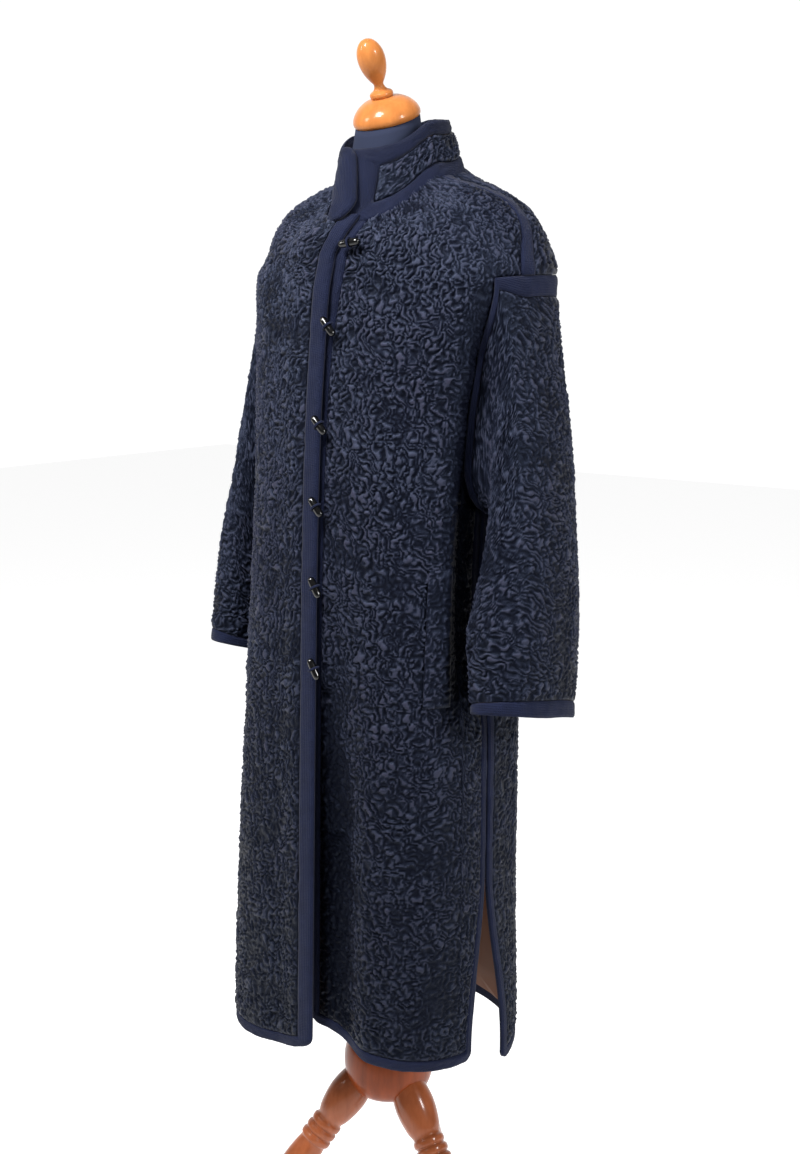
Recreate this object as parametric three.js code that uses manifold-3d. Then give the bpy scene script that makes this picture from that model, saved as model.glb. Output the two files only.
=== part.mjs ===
// A long curly-lamb fur coat with knitted wool bands, worn by a dress form on a wooden tripod.
// Millimetres, +Z up, the coat's front towards -Y, the wearer's left towards +X, floor at z = 0. It is drawn
// about the pole's axis, and moved at the end to stand over the middle of its size.
import * as THREE from 'three';
import Module from 'manifold-3d';

// Driving sizes
const skin = 1.2;            // leather inside the mid surface of a panel
const pile = 7.5;            // curls outside the mid surface
const braid = 4.6;           // how far a wool band stands outside the mid surface
const gap = 0.35;            // seam between two pieces
const frontBand = 25;        // band widths, as laid flat
const hemBand = 22;
const sideBand = 15;
const armBand = 26;
const cuffBand = 21;
const shoulderBand = 24;
const collarBase = 27;
const collarTop = 27;
const collarEnd = 26;
const lap = 7.2;             // how far the right front is lifted over the left one
const neckSide = 1530;       // the neckline, at the side of the neck
const dropSide = 1411;       // the level of the dropped shoulder seam
const underarm = 1115;
const armCurve = 1190;       // above this the armhole's edges are straight
const slitTop = 640;
const liningRows = 5;          // rows of the panels' grids that the lining covers, above the hem
const liningThick = 1.2;
const armFront = 70;         // the armhole's front and back edges, in degrees round the body
const armBack = 112;

const colours = {
  fur: 0x1d2028, band: 0x262c4a, lining: 0x8a6650, horn: 0x120e0e, jersey: 0x353d50,
  wood: 0xd98840, darkWood: 0xa8572f,
};

const rad = (deg) => (deg * Math.PI) / 180;
const mix = (a, b, k) => a + (b - a) * k;
const clamp = (k, low = 0, high = 1) => Math.min(high, Math.max(low, k));
const smooth = (a, b, k) => {
  const s = clamp((k - a) / (b - a));
  return s * s * (3 - 2 * s);
};
const V = (x, y, z) => new THREE.Vector3(x, y, z);
const range = (n) => [...Array(n).keys()];

// A table is a list of rows with named columns, smoothly interpolated along its first one
function table(names, ...rows) {
  const key = rows.map((r) => r[0]);
  const slopes = names.map((_, c) => rows.map((r, i) => {
    const before = i > 0 ? (r[c] - rows[i - 1][c]) / (key[i] - key[i - 1]) : null;
    const after = i < rows.length - 1 ? (rows[i + 1][c] - r[c]) / (key[i + 1] - key[i]) : null;
    if (before === null || after === null) return before ?? after;
    return before * after <= 0 ? 0 : (2 * before * after) / (before + after);
  }));
  return (k) => {
    const t = clamp(k, key[0], key.at(-1));
    const i = Math.max(0, key.findLastIndex((v, n) => v <= t && n < key.length - 1));
    const h = key[i + 1] - key[i], s = (t - key[i]) / h;
    const [a, b, m, n] = [2 * s ** 3 - 3 * s * s + 1, 3 * s * s - 2 * s ** 3,
      s ** 3 - 2 * s * s + s, s ** 3 - s * s];
    return Object.fromEntries(names.map((name, c) =>
      [name, a * rows[i][c] + b * rows[i + 1][c] + h * (m * slopes[c][i] + n * slopes[c][i + 1])]));
  };
}

// The coat's body: level of the side line, then of the front and back, half widths, depths, centre, and
// squareness of the left front, the right front and the back
const bodyAt = table(
  ['side', 'front', 'back', 'left', 'right', 'frontY', 'backY', 'midX', 'midY', 'powL', 'powR', 'powB'],
  [350, 350, 350, 174, 208, -153, 132, 0, -6, 3.0, 3.0, 3.0],
  [480, 480, 480, 174, 204, -151, 131, 0, -6, 3.0, 3.0, 3.0],
  [640, 640, 640, 174, 196, -149, 130, 0, -4, 3.0, 3.0, 3.0],
  [800, 800, 800, 173, 186, -147, 129, 0, -2, 3.0, 3.0, 3.0],
  [1000, 1000, 1000, 171, 175, -144, 129, 0, 2, 2.9, 2.9, 2.9],
  [1115, 1115, 1115, 172, 173, -142, 131, 1, 8, 2.8, 2.8, 2.8],
  [1230, 1225, 1232, 181, 179, -140, 137, 3, 15, 2.6, 2.6, 2.6],
  [1330, 1318, 1334, 203, 192, -137, 144, 5, 21, 2.4, 2.3, 2.4],
  [1411, 1390, 1418, 219, 203, -133, 145, 6, 23, 2.2, 2.1, 2.3],
  [1450, 1415, 1462, 204, 184, -130, 142, 6, 23, 2.2, 2.0, 2.3],
  [1480, 1434, 1492, 187, 169, -128, 136, 5, 22, 2.2, 2.0, 2.3],
  [1502, 1446, 1510, 166, 148, -126, 127, 4, 17, 2.2, 1.9, 2.2],
  [1517, 1457, 1529, 133, 114, -123, 116, 4, 9, 2.2, 1.8, 2.2],
  [1530, 1471, 1549, 86, 74, -115, 102, 6, 0, 2.2, 1.55, 2.2],
);

// Where the two fronts end, as x on the centre front: the right one's free edge, the left band's inner edge
const edgeAt = table(['side', 'right', 'left'],
  [350, -6, 1], [860, 0, 4], [1230, 5, 9], [1330, 8, 14], [1411, 11, 24], [1480, 18, 33], [1530, 34, 46]);

// The stand collar, by its own height
const collarAt = table(
  ['rise', 'side', 'front', 'back', 'left', 'right', 'frontY', 'backY', 'midX', 'midY', 'powL', 'powR', 'powB'],
  [0, 1531, 1472, 1550, 85, 73, -114, 101, 6, 0, 2.2, 1.55, 2.2],
  [27, 1552, 1496, 1573, 75, 68, -102, 92, 7, 3, 2.2, 1.5, 2.2],
  [78, 1588, 1543, 1603, 63, 67, -84, 80, 8, 9, 2.2, 1.5, 2.2],
  [105, 1607, 1567, 1614, 60, 66, -75, 75, 8, 12, 2.2, 1.5, 2.2],
);

// A sleeve, by the distance down it: levels of its outer and inner side, how much its front is raised,
// centre of the left and the right one, half widths
const sleeveAt = table(['down', 'outer', 'inner', 'tilt', 'left', 'right', 'y', 'wideX', 'wideY'],
  [0, 1411, 1115, 0, 198, 188, 22, 18, 68],
  [26, 1385, 1090, 0, 204, 193, 22, 14, 71],
  [90, 1320, 1052, 0, 213, 202, 22, 13, 74],
  [170, 1240, 1010, 3, 220, 211, 20, 19.5, 75],
  [260, 1150, 972, 6, 225, 219, 15, 25, 76],
  [350, 1060, 935, 9, 231, 228, 8, 31.5, 76],
  [440, 975, 905, 12, 236, 233, 1, 34, 76],
  [530, 890, 868, 15, 239, 236, -7, 34, 76],
  [562, 856, 850, 17, 240, 237, -10, 34, 77],
);
const sleeveLength = 562;
const rightSleeveRaised = 30; // the right sleeve hangs higher at its cuff

// A ring's point at an angle round the body: 0 is the front, 90 the wearer's left, 180 the back
function ringPoint(r, deg) {
  const c = Math.cos(rad(deg)), s = Math.sin(rad(deg));
  const depth = c >= 0 ? r.midY - r.frontY : r.backY - r.midY;
  const front = s >= 0 ? r.powL : r.powR, pow = c >= 0 ? front : r.powB;
  const radius = (Math.abs(c / depth) ** pow + Math.abs(s / (s >= 0 ? r.left : r.right)) ** pow) ** (-1 / pow);
  const z = c >= 0 ? mix(r.side, r.front, 1 - Math.abs(s) ** 3) : mix(r.side, r.back, c * c);
  return V(r.midX + radius * s, r.midY - radius * c, z);
}

// The folds of the hanging skirt, and how far the back swings out beside its open slits
const fromFront = (deg) => Math.abs(deg > 180 ? deg - 360 : deg);
const openAt = (v) => smooth(slitTop, 380, v);
function fold(deg, v) {
  const a = fromFront(deg);
  return smooth(1150, 420, v) * smooth(10, 40, a) *
    (4.5 * Math.cos(rad(3.2 * (a - 47))) + 2.5 * Math.sin(rad(5 * deg + 0.06 * v)));
}

// A surface gives a mid point for two numbers; shifted() moves it along its outward normal
function shifted(point, u, v, out) {
  const e = 0.6;
  const across = point(u + e, v).sub(point(u - e, v));
  const up = point(u, v + e).sub(point(u, v - e));
  return point(u, v).addScaledVector(across.cross(up).normalize(), out);
}
function pushed(deg, v, out) {
  return ringPoint(bodyAt(v), deg).add(V(Math.sin(rad(deg)) * out, -Math.cos(rad(deg)) * out, 0));
}
const body = (deg, v) => pushed(deg, v, fold(deg, v));
const backBody = (deg, v) => pushed(deg, v, fold(deg, v) + 7 * openAt(v) * smooth(150, 96, fromFront(deg)));
// the collar's top edge sinks a little on the wearer's right
function collar(deg, rise) {
  const p = ringPoint(collarAt(rise), deg);
  p.z -= 14 * (rise / 105) * Math.max(0, -Math.sin(rad(deg)));
  return p;
}

// A closed wall over quads of points, each with an outer and an inner place
function wall(quads, outer, inner) {
  const points = [], index = [], edges = new Map(), places = new Map(), known = new Map();
  const at = (key) => {
    if (!known.has(key)) {
      const pair = key.split(',').map(Number);
      const o = outer(...pair), place = o.toArray().map((c) => c.toFixed(3)).join();
      if (!places.has(place)) {
        places.set(place, points.length);
        points.push(o, inner(...pair));
      }
      known.set(key, places.get(place));
    }
    return known.get(key);
  };
  const face = (i, j, k) => {
    if (i === j || j === k || k === i) return;
    index.push(i, j, k, i + 1, k + 1, j + 1);
    for (const [m, n] of [[i, j], [j, k], [k, i]]) {
      if (edges.has(`${n},${m}`)) edges.delete(`${n},${m}`);
      else edges.set(`${m},${n}`, [m, n]);
    }
  };
  for (const quad of quads) {
    const [a, b, c, d] = quad.map(at);
    face(a, b, c);
    face(a, c, d);
  }
  for (const [i, j] of edges.values()) index.push(j, i, i + 1, j, i + 1, j + 1);
  return solid(points, index);
}

function solid(points, index) {
  const geometry = new THREE.BufferGeometry();
  geometry.setAttribute('position', new THREE.Float32BufferAttribute(points.flatMap((p) => p.toArray()), 3));
  geometry.setIndex(index);
  return geometry;
}

// A patch of n by m quads, whose function gives surface coordinates and a lift for a column and row
function patch(n, m, point, where, { side = 1, closed = false, skip = () => false, out = pile, deep = -skin } = {}) {
  const quads = [];
  for (const j of range(m)) {
    for (const i of range(n)) {
      if (skip(i, j)) continue;
      const next = closed ? (i + 1) % n : i + 1;
      const quad = [`${i},${j}`, `${next},${j}`, `${next},${j + 1}`, `${i},${j + 1}`];
      quads.push(side > 0 ? quad : quad.reverse());
    }
  }
  const put = (k) => (i, j) => {
    const [u, v, lift = 0] = where(i, j);
    return shifted(point, u, v, side * (lift + k));
  };
  return wall(quads, put(out), put(deep));
}

// Each panel's hem, by the angle from the centre front
const hems = {
  left: table(['deg', 'level'], [-14, 424], [-4, 421], [5, 416], [14, 401], [25, 391], [50, 377], [75, 376], [90, 379]),
  right: table(['deg', 'level'], [-6, 381], [6, 381], [15, 375], [25, 369], [50, 362], [90, 368]),
  back: table(['deg', 'level'], [90, 350], [100, 350], [130, 366], [180, 384]),
};
const sideFront = (v) => 90 - 11.5 * openAt(v);
const sideBack = (v) => 90 + 9.5 * openAt(v);
const seamAt = (v) => mix(81, 90, smooth(dropSide, 1500, v)); // the shoulder seam's angle
const neckTop = neckSide - 4;
const shoulderRows = [dropSide, 1450, 1480, 1502, 1516, neckTop]; // levels of the panels' upper rows
// Degrees round the body for a millimetre at an angle, and for an x near the centre front
const perMm = (deg, v) => 1 / body(deg + 0.5, v).distanceTo(body(deg - 0.5, v));
const degAtX = (x, v) => THREE.MathUtils.radToDeg(Math.asin(x / (bodyAt(v).midY - bodyAt(v).frontY)));
const lapLift = (deg, v) => lap * smooth(-75, -30, body(deg, v).x);

// The armhole's outline by the angle round the sleeve: -90 underarm, 0 front, 90 shoulder, 180 back
function armhole(turn) {
  const low = (k) => mix(underarm, armCurve, 1 - Math.sqrt(1 - clamp(k) ** 2));
  const t = ((turn + 450) % 360) - 90;
  const up = t < 90 ? t : 180 - t, edge = t < 90 ? armFront : armBack;
  if (up < -30) return [mix(90, edge, (up + 90) / 60), low((up + 90) / 60)];
  if (up < 45) return [edge, mix(armCurve, dropSide, (up + 30) / 75)];
  return [mix(edge, 90, (up - 45) / 45), dropSide];
}
// the same curve for a place between an armhole edge (1) and the side seam (0)
const armholeFloor = (k) => mix(underarm, armCurve, 1 - Math.sqrt(1 - clamp(k) ** 2)) - gap;

// The strip that edges a panel, as pairs of an inner and an outer place: down its first edge, round the
// lower corner, along the hem, round the other corner and up the second edge. The panel's own grid gives
// the inner side, so that the seam between them keeps its width
function edging({ place, last, tops, edges, hem, radii, scale }) {
  const pairs = [], turns = [0.5, 1.5, 2.5].map((k) => rad(30 * k));
  const inside = (i, j, side) => {
    const [d, v] = place(i, j);
    return side === 0 ? [d, v - gap] : [d + side * gap * scale(d, v), v];
  };
  const [a, b] = [0, 1].map((n) => edges[n](400));
  const [r1, r2] = radii, [k1, k2] = [scale(a, 400), scale(b, 400)];
  for (let j = tops[0]; j >= 0; j -= 1) {
    const [d, v] = inside(0, j, -1);
    pairs.push([j > 0 ? [d, v] : [d, v - gap], [edges[0](v), Math.max(v, hem(a) + r1)]]);
  }
  for (const t of turns) {
    const d = a + r1 * k1 * (1 - Math.cos(t));
    pairs.push([pairs[tops[0]][0], [d, hem(d) + r1 * (1 - Math.sin(t))]]);
  }
  for (const i of range(last + 1)) {
    const outer = mix(a + r1 * k1, b - r2 * k2, i / last);
    pairs.push([i === 0 ? pairs[tops[0]][0] : inside(i, 0, 0), [outer, hem(outer)]]);
  }
  const corner = inside(last, 0, 1);
  corner[1] -= gap;
  pairs.at(-1)[0] = corner;
  for (const t of turns) {
    const d = b - r2 * k2 * (1 - Math.sin(t));
    pairs.push([corner, [d, hem(d) + r2 * (1 - Math.cos(t))]]);
  }
  for (const j of range(tops[1] + 1)) {
    const [d, v] = inside(last, j, 1);
    pairs.push([j > 0 ? [d, v] : corner, [edges[1](v), Math.max(v, hem(b) + r2)]]);
  }
  return pairs;
}

const { Manifold, Mesh } = await Module().then((m) => {
  m.setup();
  return m;
});
const toManifold = (geometry) => new Manifold(new Mesh({
  numProp: 3,
  vertProperties: new Float32Array(geometry.attributes.position.array),
  triVerts: new Uint32Array(geometry.index.array),
}));
function fromManifold(m) {
  const mesh = m.getMesh();
  const geometry = new THREE.BufferGeometry();
  geometry.setAttribute('position', new THREE.Float32BufferAttribute(mesh.vertProperties, 3));
  geometry.setIndex([...mesh.triVerts]);
  return geometry;
}
const largest = (m) => m.decompose().sort((p, q) => q.volume() - p.volume())[0];

const parts = [];
const bodies = { left: [], right: [] }; // the panels round each armhole, a seam's width larger
const around = { out: pile + 2 * gap, deep: -skin - 2 * gap };
function add(name, geometry, colour, roughness = 0.9) {
  parts.push([name, geometry, colour, roughness]);
}

const sleeves = [];
for (const [side, name] of [[1, 'left'], [-1, 'right']]) {
  const point = (d, v) => body(side * d, v);
  const edge = side > 0
    ? (v) => degAtX(edgeAt(v).left - frontBand, v)
    : (v) => degAtX(-edgeAt(v).right, v);
  const lift = side > 0 ? () => 0 : (d, v) => lapLift(-d, v);
  const scale = (d, v = 400) => perMm(side * d, v);
  const hem = (d) => hems[name](d).level;

  // the front's fur: columns to the armhole line and on to the side seam, rows to the underarm,
  // the shoulder's drop and the neck
  const [inner, outer, low, mid, high] = [8, 3, 13, 5, shoulderRows.length - 1];
  const sideEdge = (v, whole) => {
    if (whole) return 90.4;
    return v > dropSide
      ? seamAt(v) - (shoulderBand / 2 + gap) * scale(86, v) : sideFront(v) - (sideBand + gap) * scale(86, v);
  };
  const column = (i, v, whole) => {
    const line = armFront - (whole ? -0.5 : 1) * gap * scale(armFront, v);
    return i <= inner ? mix(edge(v) + (frontBand + gap) * scale(edge(v), v), line, i / inner)
      : mix(line, sideEdge(v, whole), (i - inner) / outer);
  };
  const place = (i, j, whole) => {
    const u = (i - inner) / outer, seam = whole ? 0 : gap;
    let v = j > low + mid ? shoulderRows[j - low - mid] : dropSide + seam;
    if (j < low + mid) v = mix(armCurve, dropSide + seam, (j - low) / mid);
    if (j <= low) {
      const top = (i <= inner ? armCurve : armholeFloor(1 - u)) - 3 * seam;
      v = mix(hem(column(i, 400, whole)) + hemBand + gap, top, j / low);
    }
    const d = column(i, v, whole);
    return [d, v, lift(d, v)];
  };
  const hole = { side, skip: (i, j) => i >= inner && j >= low && j < low + mid };
  add(`front_${name}`, patch(inner + outer, low + mid + high, point, (i, j) => place(i, j), hole), colours.fur);
  bodies[name].push(toManifold(patch(inner + outer, low + mid + high, point, (i, j) => place(i, j, true),
    { ...hole, ...around })));

  // the wool band down the front edge, along the hem and up the side seam
  const pairs = edging({
    place, last: inner + outer, tops: [low + mid + high, low], hem, scale, radii: [side > 0 ? 22 : 17, 15],
    edges: [edge, (v) => sideFront(v) - (gap / 2) * scale(88, v)],
  });
  add(`front_band_${name}`, patch(1, pairs.length - 1, point, (i, j) => {
    const [d, v] = pairs[j][i];
    return [d, v, lift(d, v)];
  }, { side, out: braid }), colours.band);

  // the lining that shows inside the open skirt
  add(`lining_front_${name}`, patch(inner + outer - 1, liningRows, point, (i, j) => place(i + 1, j),
    { side, out: -skin - gap, deep: -skin - gap - liningThick }), colours.lining, 0.5);

  // the welt of the pocket, laid on the front
  add(`pocket_welt_${name}`, patch(3, 6, point, (i, j) => {
    const v = mix(868, 1046, j / 6);
    return [mix(52.5 + 1.5 * j / 6, 63.5, i / 3), v, 0];
  }, { side, out: pile + gap + 4.5, deep: pile + gap }), colours.fur);

  // the sleeve: its top follows the armhole, and it becomes a flat tube that hangs to the cuff
  const raise = side > 0 ? 0 : rightSleeveRaised;
  const turns = [-90, -75, -60, -45, -30, -11, 8, 26, 45, 60, 75, 90, 105, 120, 135, 154, 172, 191, 210, 225, 240, 255];
  const sleeve = (turn, rise) => {
    const t = -rise, r = sleeveAt(t * (1 + 0.0001)), c = Math.cos(rad(turn)), s = Math.sin(rad(turn));
    const round = (k) => Math.sign(k) * Math.abs(k) ** 0.86;
    const tube = V(side * (r[name] + r.wideX * round(s)), r.y - r.wideY * round(c),
      mix(r.inner, r.outer, (1 + s) / 2) + r.tilt * c + raise * smooth(60, sleeveLength, t));
    const b = (1 - s) / 2, away = 6 * b * b;
    const top = point(...armhole(turn)).add(V(
      side * (away + t * (0.12 + 0.75 * b)), 0.3 * t * c, t * (-1 + 0.6 * b)));
    return top.lerp(tube, smooth(0, 100, t));
  };
  const tubePatch = (from, to, rows, out, deep = -skin) => patch(turns.length, rows, sleeve,
    (i, j) => [turns[i], mix(-to, -from, j / rows)], { side, closed: true, out, deep });
  sleeves.push({ name, tubePatch });
  add(`cuff_band_${name}`, tubePatch(sleeveLength - cuffBand, sleeveLength - 0.5, 1, braid), colours.band);

  // the band on the shoulder seam
  add(`shoulder_band_${name}`, patch(2, high, point, (i, j) => {
    const v = j > 0 ? shoulderRows[j] : dropSide + gap;
    return [seamAt(v) + (i - 1) * (shoulderBand / 2) * scale(86, v), v];
  }, { side, out: braid }), colours.band);
}

// The back in one piece, from side seam to side seam
{
  const hem = (d) => hems.back(fromFront(d)).level;
  const [outer, inner, low, mid, high] = [3, 12, 13, 5, shoulderRows.length - 1];
  const last = 2 * outer + inner;
  const scale = (d, v = 400) => perMm(d, v);
  const ends = (v, whole, mirror) => {
    const mm = (d) => scale(mirror ? 360 - d : d, v);
    let edge = v > dropSide ? seamAt(v) + (shoulderBand / 2 + gap) * mm(86)
      : sideBack(v) + (sideBand + gap) * mm(94);
    if (whole) edge = Math.min(edge, 89.6);
    return [edge, armBack + (whole ? -0.5 : 1) * gap * mm(armBack)];
  };
  const column = (i, v, whole) => {
    const [[edge, line], [edge2, line2]] = [ends(v, whole, false), ends(v, whole, true)];
    if (i < outer) return mix(edge, line, i / outer);
    if (i > last - outer) return 360 - mix(edge2, line2, (last - i) / outer);
    return mix(line, 360 - line2, (i - outer) / inner);
  };
  const place = (i, j, whole) => {
    const u = Math.min(i, last - i) / outer, seam = whole ? 0 : gap;
    let v = j > low + mid ? shoulderRows[j - low - mid] : dropSide + seam;
    if (j < low + mid) v = mix(armCurve, dropSide + seam, (j - low) / mid);
    if (j <= low) {
      const top = (u >= 1 ? armCurve : armholeFloor(u)) - 3 * seam;
      v = mix(hem(column(i, 400, whole)) + hemBand + gap, top, j / low);
    }
    return [column(i, v, whole), v];
  };
  const hole = { skip: (i, j) => (i < outer || i >= last - outer) && j >= low && j < low + mid };
  add('back', patch(last, low + mid + high, backBody, (i, j) => place(i, j), hole), colours.fur);
  const whole = toManifold(patch(last, low + mid + high, backBody, (i, j) => place(i, j, true),
    { ...hole, ...around }));
  bodies.left.push(whole);
  bodies.right.push(whole);
  const pairs = edging({
    place, last, tops: [low, low], hem, scale, radii: [14, 14],
    edges: [(v) => sideBack(v) + (gap / 2) * scale(92, v), (v) => 360 - sideBack(v) - (gap / 2) * scale(92, v)],
  });
  add('back_band', patch(1, pairs.length - 1, backBody, (i, j) => pairs[j][i], { out: braid }), colours.band);
  add('lining_back', patch(last, liningRows, backBody, (i, j) => place(i, j),
    { out: -skin - gap, deep: -skin - gap - liningThick }), colours.lining, 0.5);
}

// The sleeves and the bands at their tops, cut back to the panels round the armholes
for (const { name, tubePatch } of sleeves) {
  const [front, back] = bodies[name];
  const band = tubePatch(gap, armBand, 2, braid), next = tubePatch(gap, armBand, 2, pile + gap, -skin - gap);
  const sleeve = tubePatch(armBand + gap, sleeveLength - cuffBand - 2 * gap, 12, pile);
  add(`armhole_band_${name}`, fromManifold(largest(toManifold(band).subtract(front).subtract(back))), colours.band);
  add(`sleeve_${name}`, fromManifold(largest(toManifold(sleeve).subtract(toManifold(next)))), colours.fur);
}

// The collar: its right end laps over its left end at the front
{
  const from = (v) => 9 - v / 6, to = (v) => 380 - v / 7;
  const end = collarEnd / (collar(1, 50).distanceTo(collar(0, 50)));
  const lift = (d) => 6.6 * smooth(338, 364, d);
  const [a, b] = [() => from(0) + end, (v) => to(v) - 1.4 * end];
  const [low, high, top] = [collarBase, 105 - collarTop, 105];
  add('collar', patch(26, 2, collar, (i, j) => {
    const v = mix(low + 3 * gap, high - 3 * gap, j / 2), d = mix(a(v) + 0.5, b(v) - 0.5, i / 26);
    return [d, v, lift(d)];
  }), colours.fur);
  const ring = [];
  for (const k of range(27)) ring.push([[mix(a(low), b(low), k / 26), low], [mix(from(0), to(0), k / 26), 0]]);
  for (const k of [1, 2]) ring.push([[b(mix(low, high, k / 2)), mix(low, high, k / 2)], [to(46 * k), 46 * k]]);
  ring.push([[b(high), high], [to(102) - 2.5, 102]]);
  for (const k of range(27)) {
    ring.push([[mix(b(high), a(high), k / 26), high], [mix(to(top) - 8, from(top) + 8, k / 26), top]]);
  }
  ring.push([[a(high), high], [from(102) + 2.5, 102]]);
  for (const k of [0, 1]) ring.push([[a(mix(high, low, k / 2)), mix(high, low, k / 2)], [from(92 - 46 * k), 92 - 46 * k]]);
  add('collar_band', patch(1, ring.length, collar, (i, j) => {
    const [d, v] = ring[j % ring.length][i];
    return [d, v, lift(d)];
  }, { side: 1, out: braid }), colours.band);
}

// Turned pieces: a profile of radius and height about an axis
function turned(profile, segments = 16) {
  const points = [], index = [];
  const rings = profile.map(([r, z]) => {
    const first = points.length, count = r < 1e-6 ? 1 : segments;
    for (const k of range(count)) {
      const t = (2 * Math.PI * k) / segments;
      points.push(V(r * Math.cos(t), r * Math.sin(t), z));
    }
    return (k) => first + (count === 1 ? 0 : k % segments);
  });
  for (const n of range(rings.length - 1)) {
    for (const k of range(segments)) {
      const [a, b, c, d] = [rings[n](k), rings[n](k + 1), rings[n + 1](k + 1), rings[n + 1](k)];
      if (a !== b) index.push(a, b, d);
      if (c !== d) index.push(b, c, d);
    }
  }
  return solid(points, index);
}
const placed = (geometry, matrix) => geometry.applyMatrix4(matrix);

// The dress form's torso, shoulders and neck; the neck, its cap and the finial lean forward
const lean = new THREE.Matrix4().makeTranslation(0, 0, 1608.6).multiply(new THREE.Matrix4().makeRotationX(rad(21)));
const formAt = table(['side', 'front', 'back', 'left', 'right', 'frontY', 'backY', 'midX', 'midY', 'powL', 'powR', 'powB'],
  [740, 740, 740, 138, 138, -98, 96, 0, 0, 2.4, 2.4, 2.4],
  [850, 850, 850, 150, 150, -108, 104, 0, 0, 2.4, 2.4, 2.4],
  [1000, 1000, 1000, 118, 118, -88, 86, 0, 0, 2.2, 2.2, 2.2],
  [1150, 1150, 1150, 136, 136, -106, 98, 0, 0, 2.2, 2.2, 2.2],
  [1270, 1265, 1275, 150, 150, -120, 108, 2, 4, 2.3, 2.3, 2.3],
  [1380, 1360, 1390, 156, 156, -118, 118, 3, 12, 2.3, 2.3, 2.3],
  [1440, 1400, 1450, 164, 150, -117, 122, 4, 16, 2.3, 2.1, 2.3],
  [1480, 1432, 1488, 160, 136, -116, 120, 4, 16, 2.3, 2.0, 2.2]);
{
  const cols = 28, rows = [];
  for (const v of [740, 790, 850, 925, 1000, 1075, 1150, 1210, 1270, 1325, 1380, 1440, 1480]) {
    rows.push((d) => ringPoint(formAt(v), d));
  }
  for (const v of [1502, 1516, 1524.5]) rows.push((d) => shifted(body, d, v, -skin - 2.4));
  const neck = table(['side', 'front', 'back', 'left', 'right', 'frontY', 'backY', 'midX', 'midY', 'powL', 'powR', 'powB'],
    [1525, 1486, 1541, 60, 53, -79, 66, 0, -2, 2, 1.8, 2],
    [1545, 1518, 1566, 53, 53, -60, 56, 0, -1, 2, 2, 2],
    [1575, 1556, 1594, 47, 47, -48, 47, 0, 0, 2, 2, 2]);
  for (const v of [1525, 1545, 1575]) rows.push((d) => ringPoint(neck(v), d));
  rows.push((d) => V(43 * Math.sin(rad(d)), -43 * Math.cos(rad(d)), -0.6).applyMatrix4(lean));
  const points = rows.flatMap((row) => range(cols).map((k) => row((360 * k) / cols)));
  const index = [];
  for (const j of range(rows.length - 1)) {
    for (const k of range(cols)) {
      const [a, b] = [j * cols + k, j * cols + ((k + 1) % cols)];
      index.push(a, b, b + cols, a, b + cols, a + cols);
    }
  }
  const end = points.length;
  points.push(V(0, 0, 740), V(0, 0, -0.6).applyMatrix4(lean));
  for (const k of range(cols)) {
    const n = (k + 1) % cols, top = (rows.length - 1) * cols;
    index.push(end, n, k, end + 1, top + k, top + n);
  }
  add('dress_form', solid(points, index), colours.jersey);
}

// The wooden neck cap and its finial, then the pole, hub and legs
add('neck_cap', placed(turned([[0, 0], [43, 0], [44.5, 3], [44.3, 8], [41, 15], [34, 22.5], [25, 28], [16, 30.5], [0, 30.5]], 28),
  lean), colours.wood, 0.35);
const finialLean = lean.clone().multiply(new THREE.Matrix4().makeTranslation(0, 0, 30.85))
  .multiply(new THREE.Matrix4().set(1, 0, 0, 0, 0, 1, -0.09, 0, 0, 0, 1, 0, 0, 0, 0, 1));
add('finial', placed(turned([[0, 0], [14, 0], [15.4, 3], [14.2, 7], [9.3, 10], [6.8, 14], [6.6, 18], [9.5, 22.5],
  [14, 31], [17, 41], [17.9, 51], [16.6, 60.5], [12.6, 69], [7, 74.5], [0, 76.5]]), finialLean), colours.wood, 0.35);
add('pole', turned([[0, 368.4], [15, 368.4], [15, 739.6], [0, 739.6]], 16), colours.darkWood, 0.35);
const hubProfile = [[0, 257], [24, 257], [40, 261], [52, 270], [59.5, 284], [62.8, 300], [63, 320], [58, 338], [46, 352],
  [28, 361], [22, 368], [0, 368]];
add('hub', turned(hubProfile, 28), colours.darkWood, 0.3);

// Three turned legs meet the pole's axis above the floor; each is cut level at its foot
const legMeet = 339, legSplay = 36.5;
const legProfile = [[0, 44], [15, 44], [20, 58], [25.5, 76], [28, 96], [27, 114], [23.5, 132], [19.5, 143], [22, 148],
  [22, 154], [19.6, 157.5], [22.4, 161], [22.4, 167], [19.8, 170.5], [22.6, 174], [22.6, 180], [19.8, 184], [21.5, 200],
  [22.4, 222], [20.5, 262], [16.5, 320], [12.5, 366], [11, 382], [14, 388], [17, 400], [17, 412], [16, 450], [0, 450]];
const hubCutter = toManifold(turned(hubProfile.map(([r, z]) => [r > 0 ? r + gap : 0, z === 257 ? z - gap : z]), 28));
const floorCutter = Manifold.cube([1200, 1200, 200], true).translate([0, 0, -100]);
for (const [name, deg] of [['right', 227], ['left', 347], ['back', 107]]) {
  const place = new THREE.Matrix4().makeTranslation(0, 0, legMeet)
    .multiply(new THREE.Matrix4().makeRotationZ(rad(deg)))
    .multiply(new THREE.Matrix4().makeRotationY(rad(180 - legSplay)));
  const leg = toManifold(placed(turned(legProfile, 12), place)).subtract(hubCutter).subtract(floorCutter);
  add(`leg_${name}`, fromManifold(largest(leg)), colours.darkWood, 0.3);
}

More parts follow.
